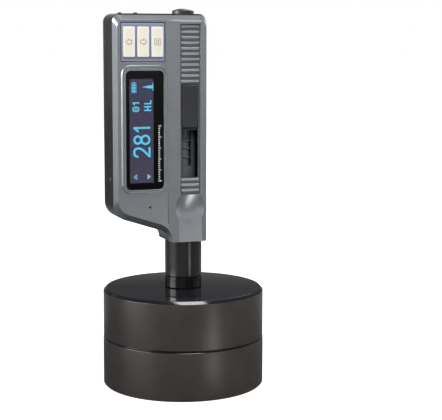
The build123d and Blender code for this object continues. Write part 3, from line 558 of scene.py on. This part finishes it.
steelSetting = {
    # sizes and places are in metres
    "side": (tone(44, 42, 40), tone(66, 61, 58)),
    "top": (tone(20, 20, 24), tone(26, 26, 31)),
    "worn": tone(120, 114, 106),
    "wornShare": 0.08,
    "wornRound": 0.0004,
    "wearStarts": (0.3, 0.7),  # streak over which an edge goes from partly to fully worn
    "partly": 0.2,
    "topFrom": (0.3, 0.6),  # upward tilt of a face from which the lapped top takes over from the side
    "flatFrom": (0.93, 0.995),  # and from which it is a mirror
    # painted shade: near black at the floor of the groove between the block's halves
    "paintedGrooveShade": tone(8, 8, 9),
    "grooveReach": (0.0444, 0.0448),  # from the axis
    "grooveFoot": (0.020, 0.021),
    "grooveTop": (0.035, 0.036),
    "rings": 0.0004,
    "ringBump": 0.2,
    "ringDepth": 0.00002,
    "cloud": 0.020,
    "streak": 0.008,
    "streakStretch": (1, 1, 0.25),
    "sideRoughness": 0.36,
    "streakMatt": 0.16,  # how far the streaks and the rings move it
    "ringMatt": 0.08,
    "topRoughness": (0.045, 0.085),
    "bevelMatt": 0.07,  # roughness that the top's rounded edge has on top of it
}


def blackenedBlock(name, setting):
    # ground and blackened steel: a lapped mirror face on top, turned sides
    steel = Finish(name)
    z = steel.axes(steel.place())[2]
    tilt = steel.axes(steel.node("ShaderNodeNewGeometry", pick="Normal"))[2]
    rings = steel.noise(setting["rings"], 2, 0.6, latheSetting["squeeze"])
    cloud = steel.noise(setting["cloud"], 4, 0.55)
    streak = steel.noise(setting["streak"], 3, 0.6, setting["streakStretch"])
    wear = streak.ramp(*setting["wearStarts"], setting["partly"], 1.0)
    worn = steel.edges(setting["wornRound"]) * wear * setting["wornShare"]
    spoke = {0: steel.place((1, 1, 0))}
    reach = steel.node("ShaderNodeVectorMath", {"operation": "LENGTH"}, spoke, pick="Value")
    rough = (streak - 0.5) * setting["streakMatt"] + (rings - 0.5) * setting["ringMatt"]
    # painted shade at the groove's floor, placed by height and by distance from the axis
    band = z.ramp(*setting["grooveFoot"]) * z.ramp(*setting["grooveTop"], 1.0, 0.0)
    paintedGrooveShade = reach.ramp(*setting["grooveReach"], 1.0, 0.0) * band
    turned = steel.mix(worn, steel.mix(cloud, *setting["side"]), setting["worn"])
    side = steel.shader(
        baseColor=steel.mix(paintedGrooveShade, turned, setting["paintedGrooveShade"]),
        roughness=rough + setting["sideRoughness"],
        specularIORLevel=0.20,
        anisotropic=0.55,
        anisotropicRotation=latheSetting["turn"],
        normal=steel.bump(rings, setting["ringBump"], setting["ringDepth"]),
    )
    bevel = tilt.ramp(*setting["flatFrom"], 1.0, 0.0)
    lapped = steel.shader(
        baseColor=steel.mix(worn, steel.mix(cloud, *setting["top"]), setting["worn"]),
        roughness=cloud.between(*setting["topRoughness"]) + bevel * setting["bevelMatt"],
        specularIORLevel=0.5,
    )
    sorts = {0: tilt.ramp(*setting["topFrom"]), 1: side, 2: lapped}
    return steel.shown(steel.node("ShaderNodeMixShader", None, sorts))


softSetting = {
    # finish: colour, grain size, roughness, grain depth, pieces
    "rubberBlack": ((34, 34, 37), 0.0004, 0.7, 0.00005, ["port_flap"]),
    "springGrey": ((88, 88, 94), 0.0003, 0.7, 0.00001, ["loading_spring"]),
    "keyMat": ((190, 190, 194), 0.0006, 0.6, 0.00008, ["keypad_mat"]),
    "foamGrey": ((70, 70, 72), 0.0008, 0.95, 0.0002, ["display_cushion", "battery_tape"]),
    "chipBlack": ((30, 30, 32), 0.0003, 0.55, 0.00002, ["board_chips", "buzzer"]),
    "leadSleeve": ((26, 26, 28), 0.0003, 0.5, 0.00002, ["coil_lead", "battery_lead"]),
    "bobbinNylon": ((60, 60, 62), 0.0004, 0.5, 0.00002, ["coil_bobbin"]),
}

softGrain = {
    "lift": (1.25, 0.004),  # the light side of the grain: a share of the colour, and what is added
    "grainMatt": 0.12,  # how far the grain moves the roughness
    "bump": 0.35,
}


def soft(name, colour, grainSize, roughness, depth):
    # rubber, foam, nylon, ink: matt, with a fine grain that is a little lighter
    stuff = Finish(name)
    grain = stuff.noise(grainSize, 3, 0.6)
    dark = tone(*colour)
    share, added = softGrain["lift"]
    light = tuple(min(1.0, c * share + added) for c in dark)
    return stuff.surface(
        baseColor=stuff.mix(grain, dark, light),
        roughness=(grain - 0.5) * softGrain["grainMatt"] + roughness,
        normal=stuff.bump(grain, softGrain["bump"], depth),
    )


for finish, (*row, pieces) in softSetting.items():
    dress(pieces, soft(finish, *row))


glossSetting = {
    # piece: finish, colour, roughness
    "window_mask": ("maskBlack", tone(38, 39, 44), 0.3),
    "display_module": ("moduleGlass", tone(14, 14, 18), 0.1),
    "battery": ("cellWrap", tone(150, 156, 166), 0.3),
}

glossHaze = {
    "size": 0.006,
    "lift": 1.2,
    "hazeMatt": 0.05,  # roughness that the haze adds
}


def gloss(name, colour, roughness):
    film = Finish(name)
    haze = film.noise(glossHaze["size"], 3)
    return film.surface(
        baseColor=film.mix(haze, colour, shaded(colour, glossHaze["lift"])),
        roughness=haze * glossHaze["hazeMatt"] + roughness,
        specularIORLevel=0.5,
    )


for film, row in glossSetting.items():
    dress([film], gloss(*row))


lensSetting = {
    "baseColor": (0.96, 0.97, 1.0),
    "roughness": 0.02,
    "ior": 1.40,
    "transmissionWeight": 1.0,
}


def clearLens(setting):
    return Finish("clearLens").surface(**setting)


litSetting = {
    "unlit": (0.002, 0.002, 0.003),
    "drift": 0.009,  # size of the patches of each colour
    "driftEnds": (0.3, 0.7),
}


def litFilm(name, colour, other):
    # a glow that drifts from one colour to the other
    film = Finish(name)
    drift = film.noise(litSetting["drift"], 2).ramp(*litSetting["driftEnds"])
    return film.surface(
        baseColor=litSetting["unlit"],
        roughness=0.5,
        specularIORLevel=0.0,
        emissionColor=film.mix(drift, colour, other),
        emissionStrength=1.0,
    )


boardSetting = {
    "offset": 0.37,
    "scale": 260.0,
    "lands": ((0.012, 0.085, 0.045, 1), (0.014, 0.105, 0.055, 1)),
    "tracks": (0.02, 0.16, 0.085, 1),
    "trackWidth": 0.03,
    "gloss": 0.002,  # size of the patches that differ in gloss
    "roughness": (0.28, 0.4),
}


def boardGreen(setting):
    board = Finish("boardGreen")
    values = {
        "Vector": board.place((1, 0, 1)),
        "Scale": setting["scale"],
        "Color1": setting["lands"][0],
        "Color2": setting["lands"][1],
        "Mortar": setting["tracks"],
        "Mortar Size": setting["trackWidth"],
    }
    tracks = board.node("ShaderNodeTexBrick", {"offset": setting["offset"]}, values)
    roughness = board.noise(setting["gloss"]).ramp(0, 1, *setting["roughness"])
    return board.surface(baseColor=tracks, roughness=roughness)


windingSetting = {
    "turns": 1500.0,  # scale of the wave that stands for the turns
    "wobble": 0.3,
    "between": tone(92, 40, 20),
    "crest": tone(196, 104, 62),
    "roughness": (0.3, 0.4),
    "bump": 0.5,
    "depth": 0.0001,
}


def woundCopper(setting):
    copper = Finish("woundCopper")
    values = {"Vector": copper.place(), "Scale": setting["turns"], "Distortion": setting["wobble"]}
    turns = copper.node("ShaderNodeTexWave", {"bands_direction": "Z"}, values)
    return copper.surface(
        baseColor=copper.mix(turns, setting["between"], setting["crest"]),
        metallic=0.7,
        roughness=turns.between(*setting["roughness"]),
        normal=copper.bump(turns, setting["bump"], setting["depth"]),
    )


dress(["display_window"], clearLens(lensSetting))
dress(["main_board"], boardGreen(boardSetting))
dress(["coil_winding"], woundCopper(windingSetting))
print("finishes made")


def addPiece(name, mesh, body, material=None):
    piece = bpy.data.objects.new(name, mesh)
    bpy.context.scene.collection.objects.link(piece)
    if material:
        mesh.materials.clear()
        mesh.materials.append(material)
    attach(piece, body)
    return piece


blockSetting = {
    # in millimetres
    "radius": 45.0,
    "lowerStep": 0.2,  # how much wider the radius is below the groove
    "height": 55.0,
    "topEdge": 1.6,
    "footEdge": 1.0,
    "grooveWidth": 1.4,
    "grooveDepth": 0.8,
    "grooveRound": 0.15,
    "edgeRound": 0.35,
    "roundSteps": 4,
    "segments": 256,
    "sharpFrom": 35,  # degrees between faces that keep a hard edge
}


def roundedProfile(points, radii, steps):
    # the corners of an open outline turned into arcs
    made = [Vector(points[0])]
    for before, corner, after, radius in zip(points, points[1:], points[2:], radii):
        corner = Vector(corner)
        back = (Vector(before) - corner).normalized()
        on = (Vector(after) - corner).normalized()
        half = back.angle(on) / 2
        reach = radius / math.tan(half)
        middle = corner + (back + on).normalized() * (radius / math.sin(half))
        start, end = corner + back * reach, corner + on * reach
        for step in range(steps + 1):
            share = step / steps
            spoke = (start - middle).lerp(end - middle, share).normalized()
            made.append(middle + spoke * radius)
    made.append(Vector(points[-1]))
    return made


def finishMesh(name, shape):
    mesh = bpy.data.meshes.new(name)
    shape.to_mesh(mesh)
    shape.free()
    return mesh


def turnedMesh(name, profile, segments, sharpFrom):
    # profile holds (radius, height) from the axis below to the axis above, in millimetres
    shape = bmesh.new()
    poles = [shape.verts.new((0, 0, p.y * mm)) for p in (profile[0], profile[-1])]
    spokes = [(math.cos(a), math.sin(a)) for a in (2 * math.pi * i / segments for i in range(segments))]
    rings = []
    for p in profile[1:-1]:
        rings.append([shape.verts.new((p.x * mm * x, p.x * mm * y, p.y * mm)) for x, y in spokes])
    for i in range(segments):
        j = (i + 1) % segments
        shape.faces.new((poles[0], rings[0][j], rings[0][i]))
        shape.faces.new((poles[1], rings[-1][i], rings[-1][j]))
        for low, high in zip(rings, rings[1:]):
            shape.faces.new((low[i], low[j], high[j], high[i]))
    bmesh.ops.recalc_face_normals(shape, faces=shape.faces)
    for face in shape.faces:
        face.smooth = True
    for edge in shape.edges:
        edge.smooth = edge.calc_face_angle(0) < math.radians(sharpFrom)
    return finishMesh(name, shape)


def makeBlock(setting):
    s = setting
    upper, lower, top = s["radius"], s["radius"] + s["lowerStep"], s["height"]
    middle, half = top / 2, s["grooveWidth"] / 2
    points = [
        (0, 0),
        (lower - s["footEdge"], 0),
        (lower, s["footEdge"]),
        (lower, middle - half),
        (upper - s["grooveDepth"], middle),
        (upper, middle + half),
        (upper, top - s["topEdge"]),
        (upper - s["topEdge"], top),
        (0, top),
    ]
    radii = [s["edgeRound"]] * 3 + [s["grooveRound"]] + [s["edgeRound"]] * 3
    profile = roundedProfile(points, radii, s["roundSteps"])
    mesh = turnedMesh("blockTurned", profile, s["segments"], s["sharpFrom"])
    steel = blackenedBlock("blackenedSteel", steelSetting)
    block = addPiece("blockTurned", mesh, "test_block", steel)
    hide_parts("test_block")


makeBlock(blockSetting)
print("block turned")


class Shape:
    # a Geometry Nodes tree with named inputs, run once on an object and turned into a plain mesh
    def __init__(self, name, inputs):
        self.tree = bpy.data.node_groups.new(name, "GeometryNodeTree")
        self.tree.interface.new_socket("Geometry", in_out="INPUT", socket_type="NodeSocketGeometry")
        self.tree.interface.new_socket("Geometry", in_out="OUTPUT", socket_type="NodeSocketGeometry")
        self.keys = {}
        for label, kind in inputs.items():
            socket = self.tree.interface.new_socket(label, in_out="INPUT", socket_type="NodeSocket" + kind)
            self.keys[label] = socket.identifier
        self.source = self.tree.nodes.new("NodeGroupInput")

    def put(self, kind, settings=None, values=None):
        made = self.tree.nodes.new(kind)
        for name, setting in (settings or {}).items():
            setattr(made, name, setting)
        for socket, value in (values or {}).items():
            if isinstance(value, bpy.types.NodeSocket):
                self.tree.links.new(value, made.inputs[socket])
            else:
                made.inputs[socket].default_value = value
        return made

    def given(self, label):
        return self.source.outputs[label]

    def end(self, geometry):
        real = self.put("GeometryNodeRealizeInstances", None, {0: geometry})
        values = {0: real.outputs[0], "Material": self.given("Material")}
        painted = self.put("GeometryNodeSetMaterial", None, values)
        self.put("NodeGroupOutput", None, {0: painted.outputs[0]})

    def run(self, holder, values):
        bpy.context.scene.collection.objects.link(holder)
        modifier = holder.modifiers.new("shape", "NODES")
        modifier.node_group = self.tree
        for label, value in values.items():
            modifier[self.keys[label]] = value
        bpy.context.view_layer.update()
        evaluated = holder.evaluated_get(bpy.context.evaluated_depsgraph_get())
        mesh = bpy.data.meshes.new_from_object(evaluated)
        holder.modifiers.remove(modifier)
        bpy.data.objects.remove(holder)
        return mesh


dotSides = 16


def strokeShape():
    # raised ink lines along drawn edges, with a round dot at each of their ends
    shape = Shape("inkStroke", {"Width": "Float", "Thick": "Float", "Material": "Material"})
    paths = shape.put("GeometryNodeMeshToCurve", None, {0: shape.given("Geometry")})
    level = shape.put("GeometryNodeSetCurveNormal", {"mode": "Z_UP"}, {0: paths.outputs[0]})
    section = shape.put(
        "GeometryNodeCurvePrimitiveQuadrilateral",
        {"mode": "RECTANGLE"},
        {"Width": shape.given("Width"), "Height": shape.given("Thick")},
    )
    lines = shape.put(
        "GeometryNodeCurveToMesh",
        None,
        {"Curve": level.outputs[0], "Profile Curve": section.outputs[0], "Fill Caps": True},
    )
    radius = shape.put("ShaderNodeMath", {"operation": "MULTIPLY"}, {0: shape.given("Width"), 1: 0.5})
    dot = shape.put(
        "GeometryNodeMeshCylinder",
        None,
        {"Vertices": dotSides, "Radius": radius.outputs[0], "Depth": shape.given("Thick")},
    )
    dots = shape.put(
        "GeometryNodeInstanceOnPoints", None, {"Points": shape.given("Geometry"), "Instance": dot.outputs[0]}
    )
    both = shape.put("GeometryNodeJoinGeometry")
    shape.tree.links.new(lines.outputs[0], both.inputs[0])
    shape.tree.links.new(dots.outputs[0], both.inputs[0])
    shape.end(both.outputs[0])
    return shape


def inkMesh(name, strokes, width, thick, depth, material):
    # strokes of (X, height) in millimetres, drawn with their middle plane at the given depth
    drawing = bmesh.new()
    for stroke in strokes:
        for ends in zip(stroke, stroke[1:]):
            drawing.edges.new([drawing.verts.new((x * mm, z * mm, 0)) for x, z in ends])
    holder = bpy.data.objects.new(name, finishMesh(name, drawing))
    made = inkStroke.run(holder, {"Width": width * mm, "Thick": thick * mm, "Material": material})
    place = Matrix.Translation((0, -depth * mm, foot)) @ Matrix.Rotation(math.radians(90), 4, "X")
    made.transform(place)
    return made
    return made


inkStroke = strokeShape()
inkGrain = {"grainSize": 0.0003, "roughness": 0.6, "depth": 0.00001}


readoutSetting = {
    # in millimetres: across is X, and heights are over the tester's foot
    "centre": (-27.3, 89.0),
    "size": (13.4, 56.4),
    "thick": 0.06,
    "markThick": 0.03,
    "glow": (tone(36, 42, 76), tone(52, 38, 60)),
    "mark": tone(88, 204, 238),
    "pale": tone(136, 196, 212),
    "fade": 0.88,  # a mark's light where it is weakest
    # name, stroke width, then each sign with its left, right, lowest and highest edge; it reads upwards
    "texts": [
        ("readoutValue", 1.15, [
            ("2", (-32.0, -22.3, 74.6, 80.3)),
            ("8", (-32.0, -22.3, 81.3, 87.2)),
            ("1", (-32.0, -22.3, 88.4, 92.4)),
        ]),
        ("readoutGroup", 0.75, [("0", (-32.4, -28.4, 99.4, 102.3)), ("1", (-32.4, -28.4, 103.0, 105.2))]),
        ("readoutScale", 0.75, [("H", (-25.9, -21.7, 99.8, 102.5)), ("L", (-25.9, -21.7, 103.4, 105.7))]),
    ],
}

batterySign = {
    "frame": (-32.8, -30.1, 109.6, 115.0),  # left, right, lowest and highest edge
    "bar": 0.28,
    "capInset": 0.75,
    "capHeight": 0.5,
    "cells": 3,
    "cellInset": 0.5,
    "cellStart": 0.55,
    "cellPitch": 1.5,
    "cellHeight": 1.25,
}

probeSign = {
    "foot": (-21.0, -20.6, 110.6, 114.9),
    "body": (-23.2, -21.0, 112.0, 113.6),
    "point": [(-27.2, 112.8), (-24.6, 112.35), (-23.2, 112.0), (-23.2, 113.6), (-24.6, 113.25)],
}

arrowSigns = {
    "hollow": [(-32.0, 64.1), (-29.9, 62.6), (-29.9, 65.6)],
    "hole": [(-31.2, 64.1), (-30.25, 63.4), (-30.25, 64.8)],
    "solid": [(-22.0, 64.1), (-24.1, 62.6), (-24.1, 65.6)],
}

# the signs as strokes on a square one wide and one high; a stroke that ends where it starts is a ring
signStrokes = {
    "0": [
        [(0.5, 1), (0.12, 0.92), (0, 0.72), (0, 0.28), (0.12, 0.08), (0.5, 0),
         (0.88, 0.08), (1, 0.28), (1, 0.72), (0.88, 0.92), (0.5, 1)],
        [(0.5, 0.42), (0.5, 0.58)],
    ],
    "1": [[(0.0, 0.76), (0.62, 1), (0.62, 0)]],
    "2": [
        [(0, 0.78), (0.06, 0.90), (0.26, 1), (0.72, 1), (0.93, 0.90),
         (1, 0.74), (0.94, 0.58), (0.8, 0.44), (0, 0), (1, 0)],
    ],
    "8": [
        [(0.5, 0.54), (0.2, 0.60), (0.07, 0.77), (0.2, 0.94), (0.5, 1),
         (0.8, 0.94), (0.93, 0.77), (0.8, 0.60), (0.5, 0.54),
         (0.15, 0.46), (0, 0.27), (0.15, 0.07), (0.5, 0),
         (0.85, 0.07), (1, 0.27), (0.85, 0.46), (0.5, 0.54)],
    ],
    "H": [[(0, 0), (0, 1)], [(1, 0), (1, 1)], [(0, 0.5), (1, 0.5)]],
    "L": [[(0, 1), (0, 0), (1, 0)]],
}


def slab(shape, outline, back, front):
    # a flat plate from a closed outline of (X, height) in millimetres, between two depths
    def ring(depth):
        return [shape.verts.new((x * mm, -depth * mm, foot + z * mm)) for x, z in outline]
    rear, face = ring(back), ring(front)
    shape.faces.new(face)
    shape.faces.new(rear[::-1])
    for i in range(len(outline)):
        j = (i + 1) % len(outline)
        shape.faces.new((rear[i], rear[j], face[j], face[i]))


def box(left, right, low, high):
    return [(left, low), (right, low), (right, high), (left, high)]


def platePiece(name, outlines, back, front, light):
    shape = bmesh.new()
    for outline in outlines:
        slab(shape, outline, back, front)
    bmesh.ops.recalc_face_normals(shape, faces=shape.faces)
    addPiece(name, finishMesh(name, shape), "tester", light)


def textStrokes(signs, width):
    # each sign's strokes laid in its edges, lying on its side so that it reads upwards
    strokes = []
    for sign, (left, right, low, high) in signs:
        for stroke in signStrokes[sign]:
            strokes.append([
                (right - width / 2 - y * (right - left - width), low + width / 2 + x * (high - low - width))
                for x, y in stroke
            ])
    return strokes


def batteryPlates(sign):
    # cells in a frame with a small cap, which points up
    left, right, low, high = sign["frame"]
    bar, cap, side = sign["bar"], sign["capInset"], sign["cellInset"]
    plates = [
        box(left, left + bar, low, high),
        box(right - bar, right, low, high),
        box(left + bar, right - bar, low, low + bar),
        box(left + bar, right - bar, high - bar, high),
        box(left + cap, right - cap, high, high + sign["capHeight"]),
    ]
    for i in range(sign["cells"]):
        cell = low + sign["cellStart"] + i * sign["cellPitch"]
        plates.append(box(left + side, right - side, cell, cell + sign["cellHeight"]))
    return plates


def probePlates(sign):
    # a foot bar, a body and a point
    return [box(*sign["foot"]), box(*sign["body"]), sign["point"]]


def arrowPlates(sign):
    # a hollow mark in three sides, and a solid one
    ring, hole = sign["hollow"], sign["hole"]
    sides = [[ring[i], ring[j], hole[j], hole[i]] for i, j in ((0, 1), (1, 2), (2, 0))]
    return [*sides, sign["solid"]]


def makeReadout(setting):
    face = -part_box("display_module")[0].y / mm  # depth of the module's glass in front of the tube's axis
    x, z = setting["centre"]
    halfWidth, halfHeight = (size / 2 for size in setting["size"])
    back = face + setting["thick"]
    front = back + setting["markThick"]
    panel = box(x - halfWidth, x + halfWidth, z - halfHeight, z + halfHeight)
    platePiece("readoutPanel", [panel], face, back, litFilm("readoutGlow", *setting["glow"]))

    lit = litFilm("markLight", setting["mark"], shaded(setting["mark"], setting["fade"]))
    pale = litFilm("paleLight", setting["pale"], shaded(setting["pale"], setting["fade"]))
    for name, width, signs in setting["texts"]:
        strokes = textStrokes(signs, width)
        mesh = inkMesh(name, strokes, width, setting["markThick"], (back + front) / 2, lit)
        addPiece(name, mesh, "tester")
    platePiece("readoutBattery", batteryPlates(batterySign), back, front, lit)
    platePiece("readoutProbe", probePlates(probeSign), back, front, lit)
    platePiece("readoutArrows", arrowPlates(arrowSigns), back, front, pale)


makeReadout(readoutSetting)
print("readout lit")


def tickShape():
    # a row of printed ticks with every fifth one longer
    shape = Shape("tickRow", {"Count": "Int", "Pitch": "Float", "Short": "Float", "Long": "Float",
                              "Width": "Float", "Thick": "Float", "Material": "Material"})
    step = shape.put("ShaderNodeCombineXYZ", None, {"Z": shape.given("Pitch")})
    row = {"Count": shape.given("Count"), "Offset": step.outputs[0]}
    line = shape.put("GeometryNodeMeshLine", None, row)
    number = shape.put("GeometryNodeInputIndex")
    fifth = shape.put("ShaderNodeMath", {"operation": "MODULO"}, {0: number.outputs[0], 1: 5.0})
    isLong = shape.put("ShaderNodeMath", {"operation": "LESS_THAN"}, {0: fifth.outputs[0], 1: 0.5})
    length = shape.put(
        "ShaderNodeMapRange", None, {0: isLong.outputs[0], 3: shape.given("Short"), 4: shape.given("Long")}
    )
    size = shape.put(
        "ShaderNodeCombineXYZ",
        None,
        {"X": length.outputs[0], "Y": shape.given("Thick"), "Z": shape.given("Width")},
    )
    tick = shape.put("GeometryNodeMeshCube", None, {"Size": (1, 1, 1)})
    half = shape.put("ShaderNodeMath", {"operation": "MULTIPLY"}, {0: length.outputs[0], 1: 0.5})
    shift = shape.put("ShaderNodeCombineXYZ", None, {"X": half.outputs[0]})
    moved = shape.put("GeometryNodeSetPosition", None, {0: line.outputs[0], "Offset": shift.outputs[0]})
    ticks = shape.put(
        "GeometryNodeInstanceOnPoints",
        None,
        {"Points": moved.outputs[0], "Instance": tick.outputs[0], "Scale": size.outputs[0]},
    )
    shape.end(ticks.outputs[0])
    return shape


tickSetting = {
    # in millimetres; the row's left end and lowest tick, then its sizes
    "left": -17.9,
    "low": 61.6,
    "count": 26,
    "pitch": 1.2,
    "short": 0.9,
    "long": 1.7,
    "width": 0.42,
    "thick": 0.03,
    "ink": (214, 214, 210),
}


def makeTicks(setting):
    s = setting
    holder = bpy.data.objects.new("windowTicks", bpy.data.meshes.new("windowTicks"))
    values = {label.capitalize(): s[label] * mm for label in ("pitch", "short", "long", "width", "thick")}
    values["Count"] = s["count"]
    values["Material"] = soft("tickInk", s["ink"], **inkGrain)
    mesh = tickShape().run(holder, values)
    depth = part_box("window_mask")[0].y - s["thick"] * mm / 2
    mesh.transform(Matrix.Translation((s["left"] * mm, depth, foot + s["low"] * mm)))
    addPiece("windowTicks", mesh, "tester")


makeTicks(tickSetting)
print("tick scale printed")


keyMarkSetting = {
    "width": 0.30,
    "thick": 0.05,
    "ink": (122, 114, 104),
    # a left arrow's closed outline about the key's middle, and the two squares' half sides, in millimetres
    "arrow": [
        (-1.9, 0.0), (-0.2, 1.6), (-0.2, 0.95), (1.5, 0.95), (1.5, -0.95), (-0.2, -0.95), (-0.2, -1.6),
    ],
    "squares": (1.6, 0.7),
}


def keyOutlines(setting):
    # an arrow each way and one square inside the other
    arrow = setting["arrow"]
    return {
        "key_left": [arrow],
        "key_middle": [[(-x, z) for x, z in arrow]],
        "key_right": [box(-half, half, -half, half) for half in setting["squares"]],
    }


def makeKeyMarks(setting):
    ink = soft("keyInk", setting["ink"], **inkGrain)
    for key, outlines in keyOutlines(setting).items():
        low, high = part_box(key)
        middle = (low + high) / 2 / mm
        strokes = []
        for outline in outlines:
            closed = outline + outline[:1]
            strokes.append([(middle.x + x, middle.z + z - foot / mm) for x, z in closed])
        name = key + "Mark"
        mesh = inkMesh(name, strokes, setting["width"], setting["thick"], -low.y / mm, ink)
        addPiece(name, mesh, key)


makeKeyMarks(keyMarkSetting)
print("keys marked")


springSetting = {
    # in millimetres: trim is how far the lower end starts above the CAD's, and squashed the height left;
    # joint names a joint, end is the one that stays, and body carries it
    "loading_spring": {
        "wire": 0.9, "turns": 8, "trim": 0.0, "squashed": 8.85,
        "joint": "slider_load", "end": "low", "body": "tester",
    },
    "impact_spring": {
        "wire": 0.5, "turns": 10, "trim": 1.25, "squashed": 11.6,
        "joint": "striker_slide", "end": "high", "body": "release",
    },
    "button_spring": {
        "wire": 0.7, "turns": 3, "trim": 0.0, "squashed": 2.72,
        "joint": "release_press", "end": "low", "body": "tester",
    },
}


coilFacets = {
    "perTurn": 28,
    "round": 8,
}


def coilShape():
    # a wound spring whose first and last turn lie flat
    shape = Shape("woundCoil", {"Turns": "Float", "Radius": "Float", "Rise": "Float", "Wire": "Float",
                                "Material": "Material"})

    def calc(operation, first, second):
        return shape.put("ShaderNodeMath", {"operation": operation}, {0: first, 1: second}).outputs[0]

    radius, turns, wire = shape.given("Radius"), shape.given("Turns"), shape.given("Wire")
    rounds = {"Resolution": coilFacets["perTurn"], "Rotations": turns, "Height": 0.0}
    rounds.update({"Start Radius": radius, "End Radius": radius})
    path = shape.put("GeometryNodeCurveSpiral", None, rounds)
    along = shape.put("GeometryNodeSplineParameter")
    turned = calc("MULTIPLY", along.outputs["Factor"], turns)
    middle = calc("SUBTRACT", turns, 2.0)
    low = calc("MULTIPLY", calc("MINIMUM", turned, 1.0), wire)
    upTo = calc("MINIMUM", calc("MAXIMUM", calc("SUBTRACT", turned, 1.0), 0.0), middle)
    pitch = calc("DIVIDE", calc("SUBTRACT", shape.given("Rise"), calc("MULTIPLY", wire, 2.0)), middle)
    last = calc("MAXIMUM", calc("SUBTRACT", turned, calc("SUBTRACT", turns, 1.0)), 0.0)
    height = calc("ADD", calc("ADD", low, calc("MULTIPLY", upTo, pitch)), calc("MULTIPLY", last, wire))
    lift = shape.put("ShaderNodeCombineXYZ", None, {"Z": height})
    bent = shape.put("GeometryNodeSetPosition", None, {0: path.outputs[0], "Offset": lift.outputs[0]})
    half = calc("MULTIPLY", wire, 0.5)
    wireFace = {"Resolution": coilFacets["round"], "Radius": half}
    section = shape.put("GeometryNodeCurvePrimitiveCircle", None, wireFace)
    coil = shape.put(
        "GeometryNodeCurveToMesh",
        None,
        {"Curve": bent.outputs[0], "Profile Curve": section.outputs[0], "Fill Caps": True},
    )
    shape.end(coil.outputs[0])
    return shape


def makeSprings(setting):
    shape = coilShape()
    for node, s in setting.items():
        low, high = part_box(node)
        wire = s["wire"] * mm
        base = low.z + s["trim"] * mm
        height = high.z - base
        name = node + "Coil"
        holder = bpy.data.objects.new(name, bpy.data.meshes.new(name))
        mesh = shape.run(holder, {
            "Turns": float(s["turns"]),
            "Radius": high.x - wire / 2,
            "Rise": height - wire,
            "Wire": wire,
            "Material": nodes[node].data.materials[0],
        })
        mesh.transform(Matrix.Translation((0, 0, base + wire / 2)))
        for face in mesh.polygons:
            face.use_smooth = True
        piece = addPiece(name, mesh, s["body"])
        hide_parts(node)
        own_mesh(piece)


makeSprings(springSetting)
print("springs wound")

print("done")
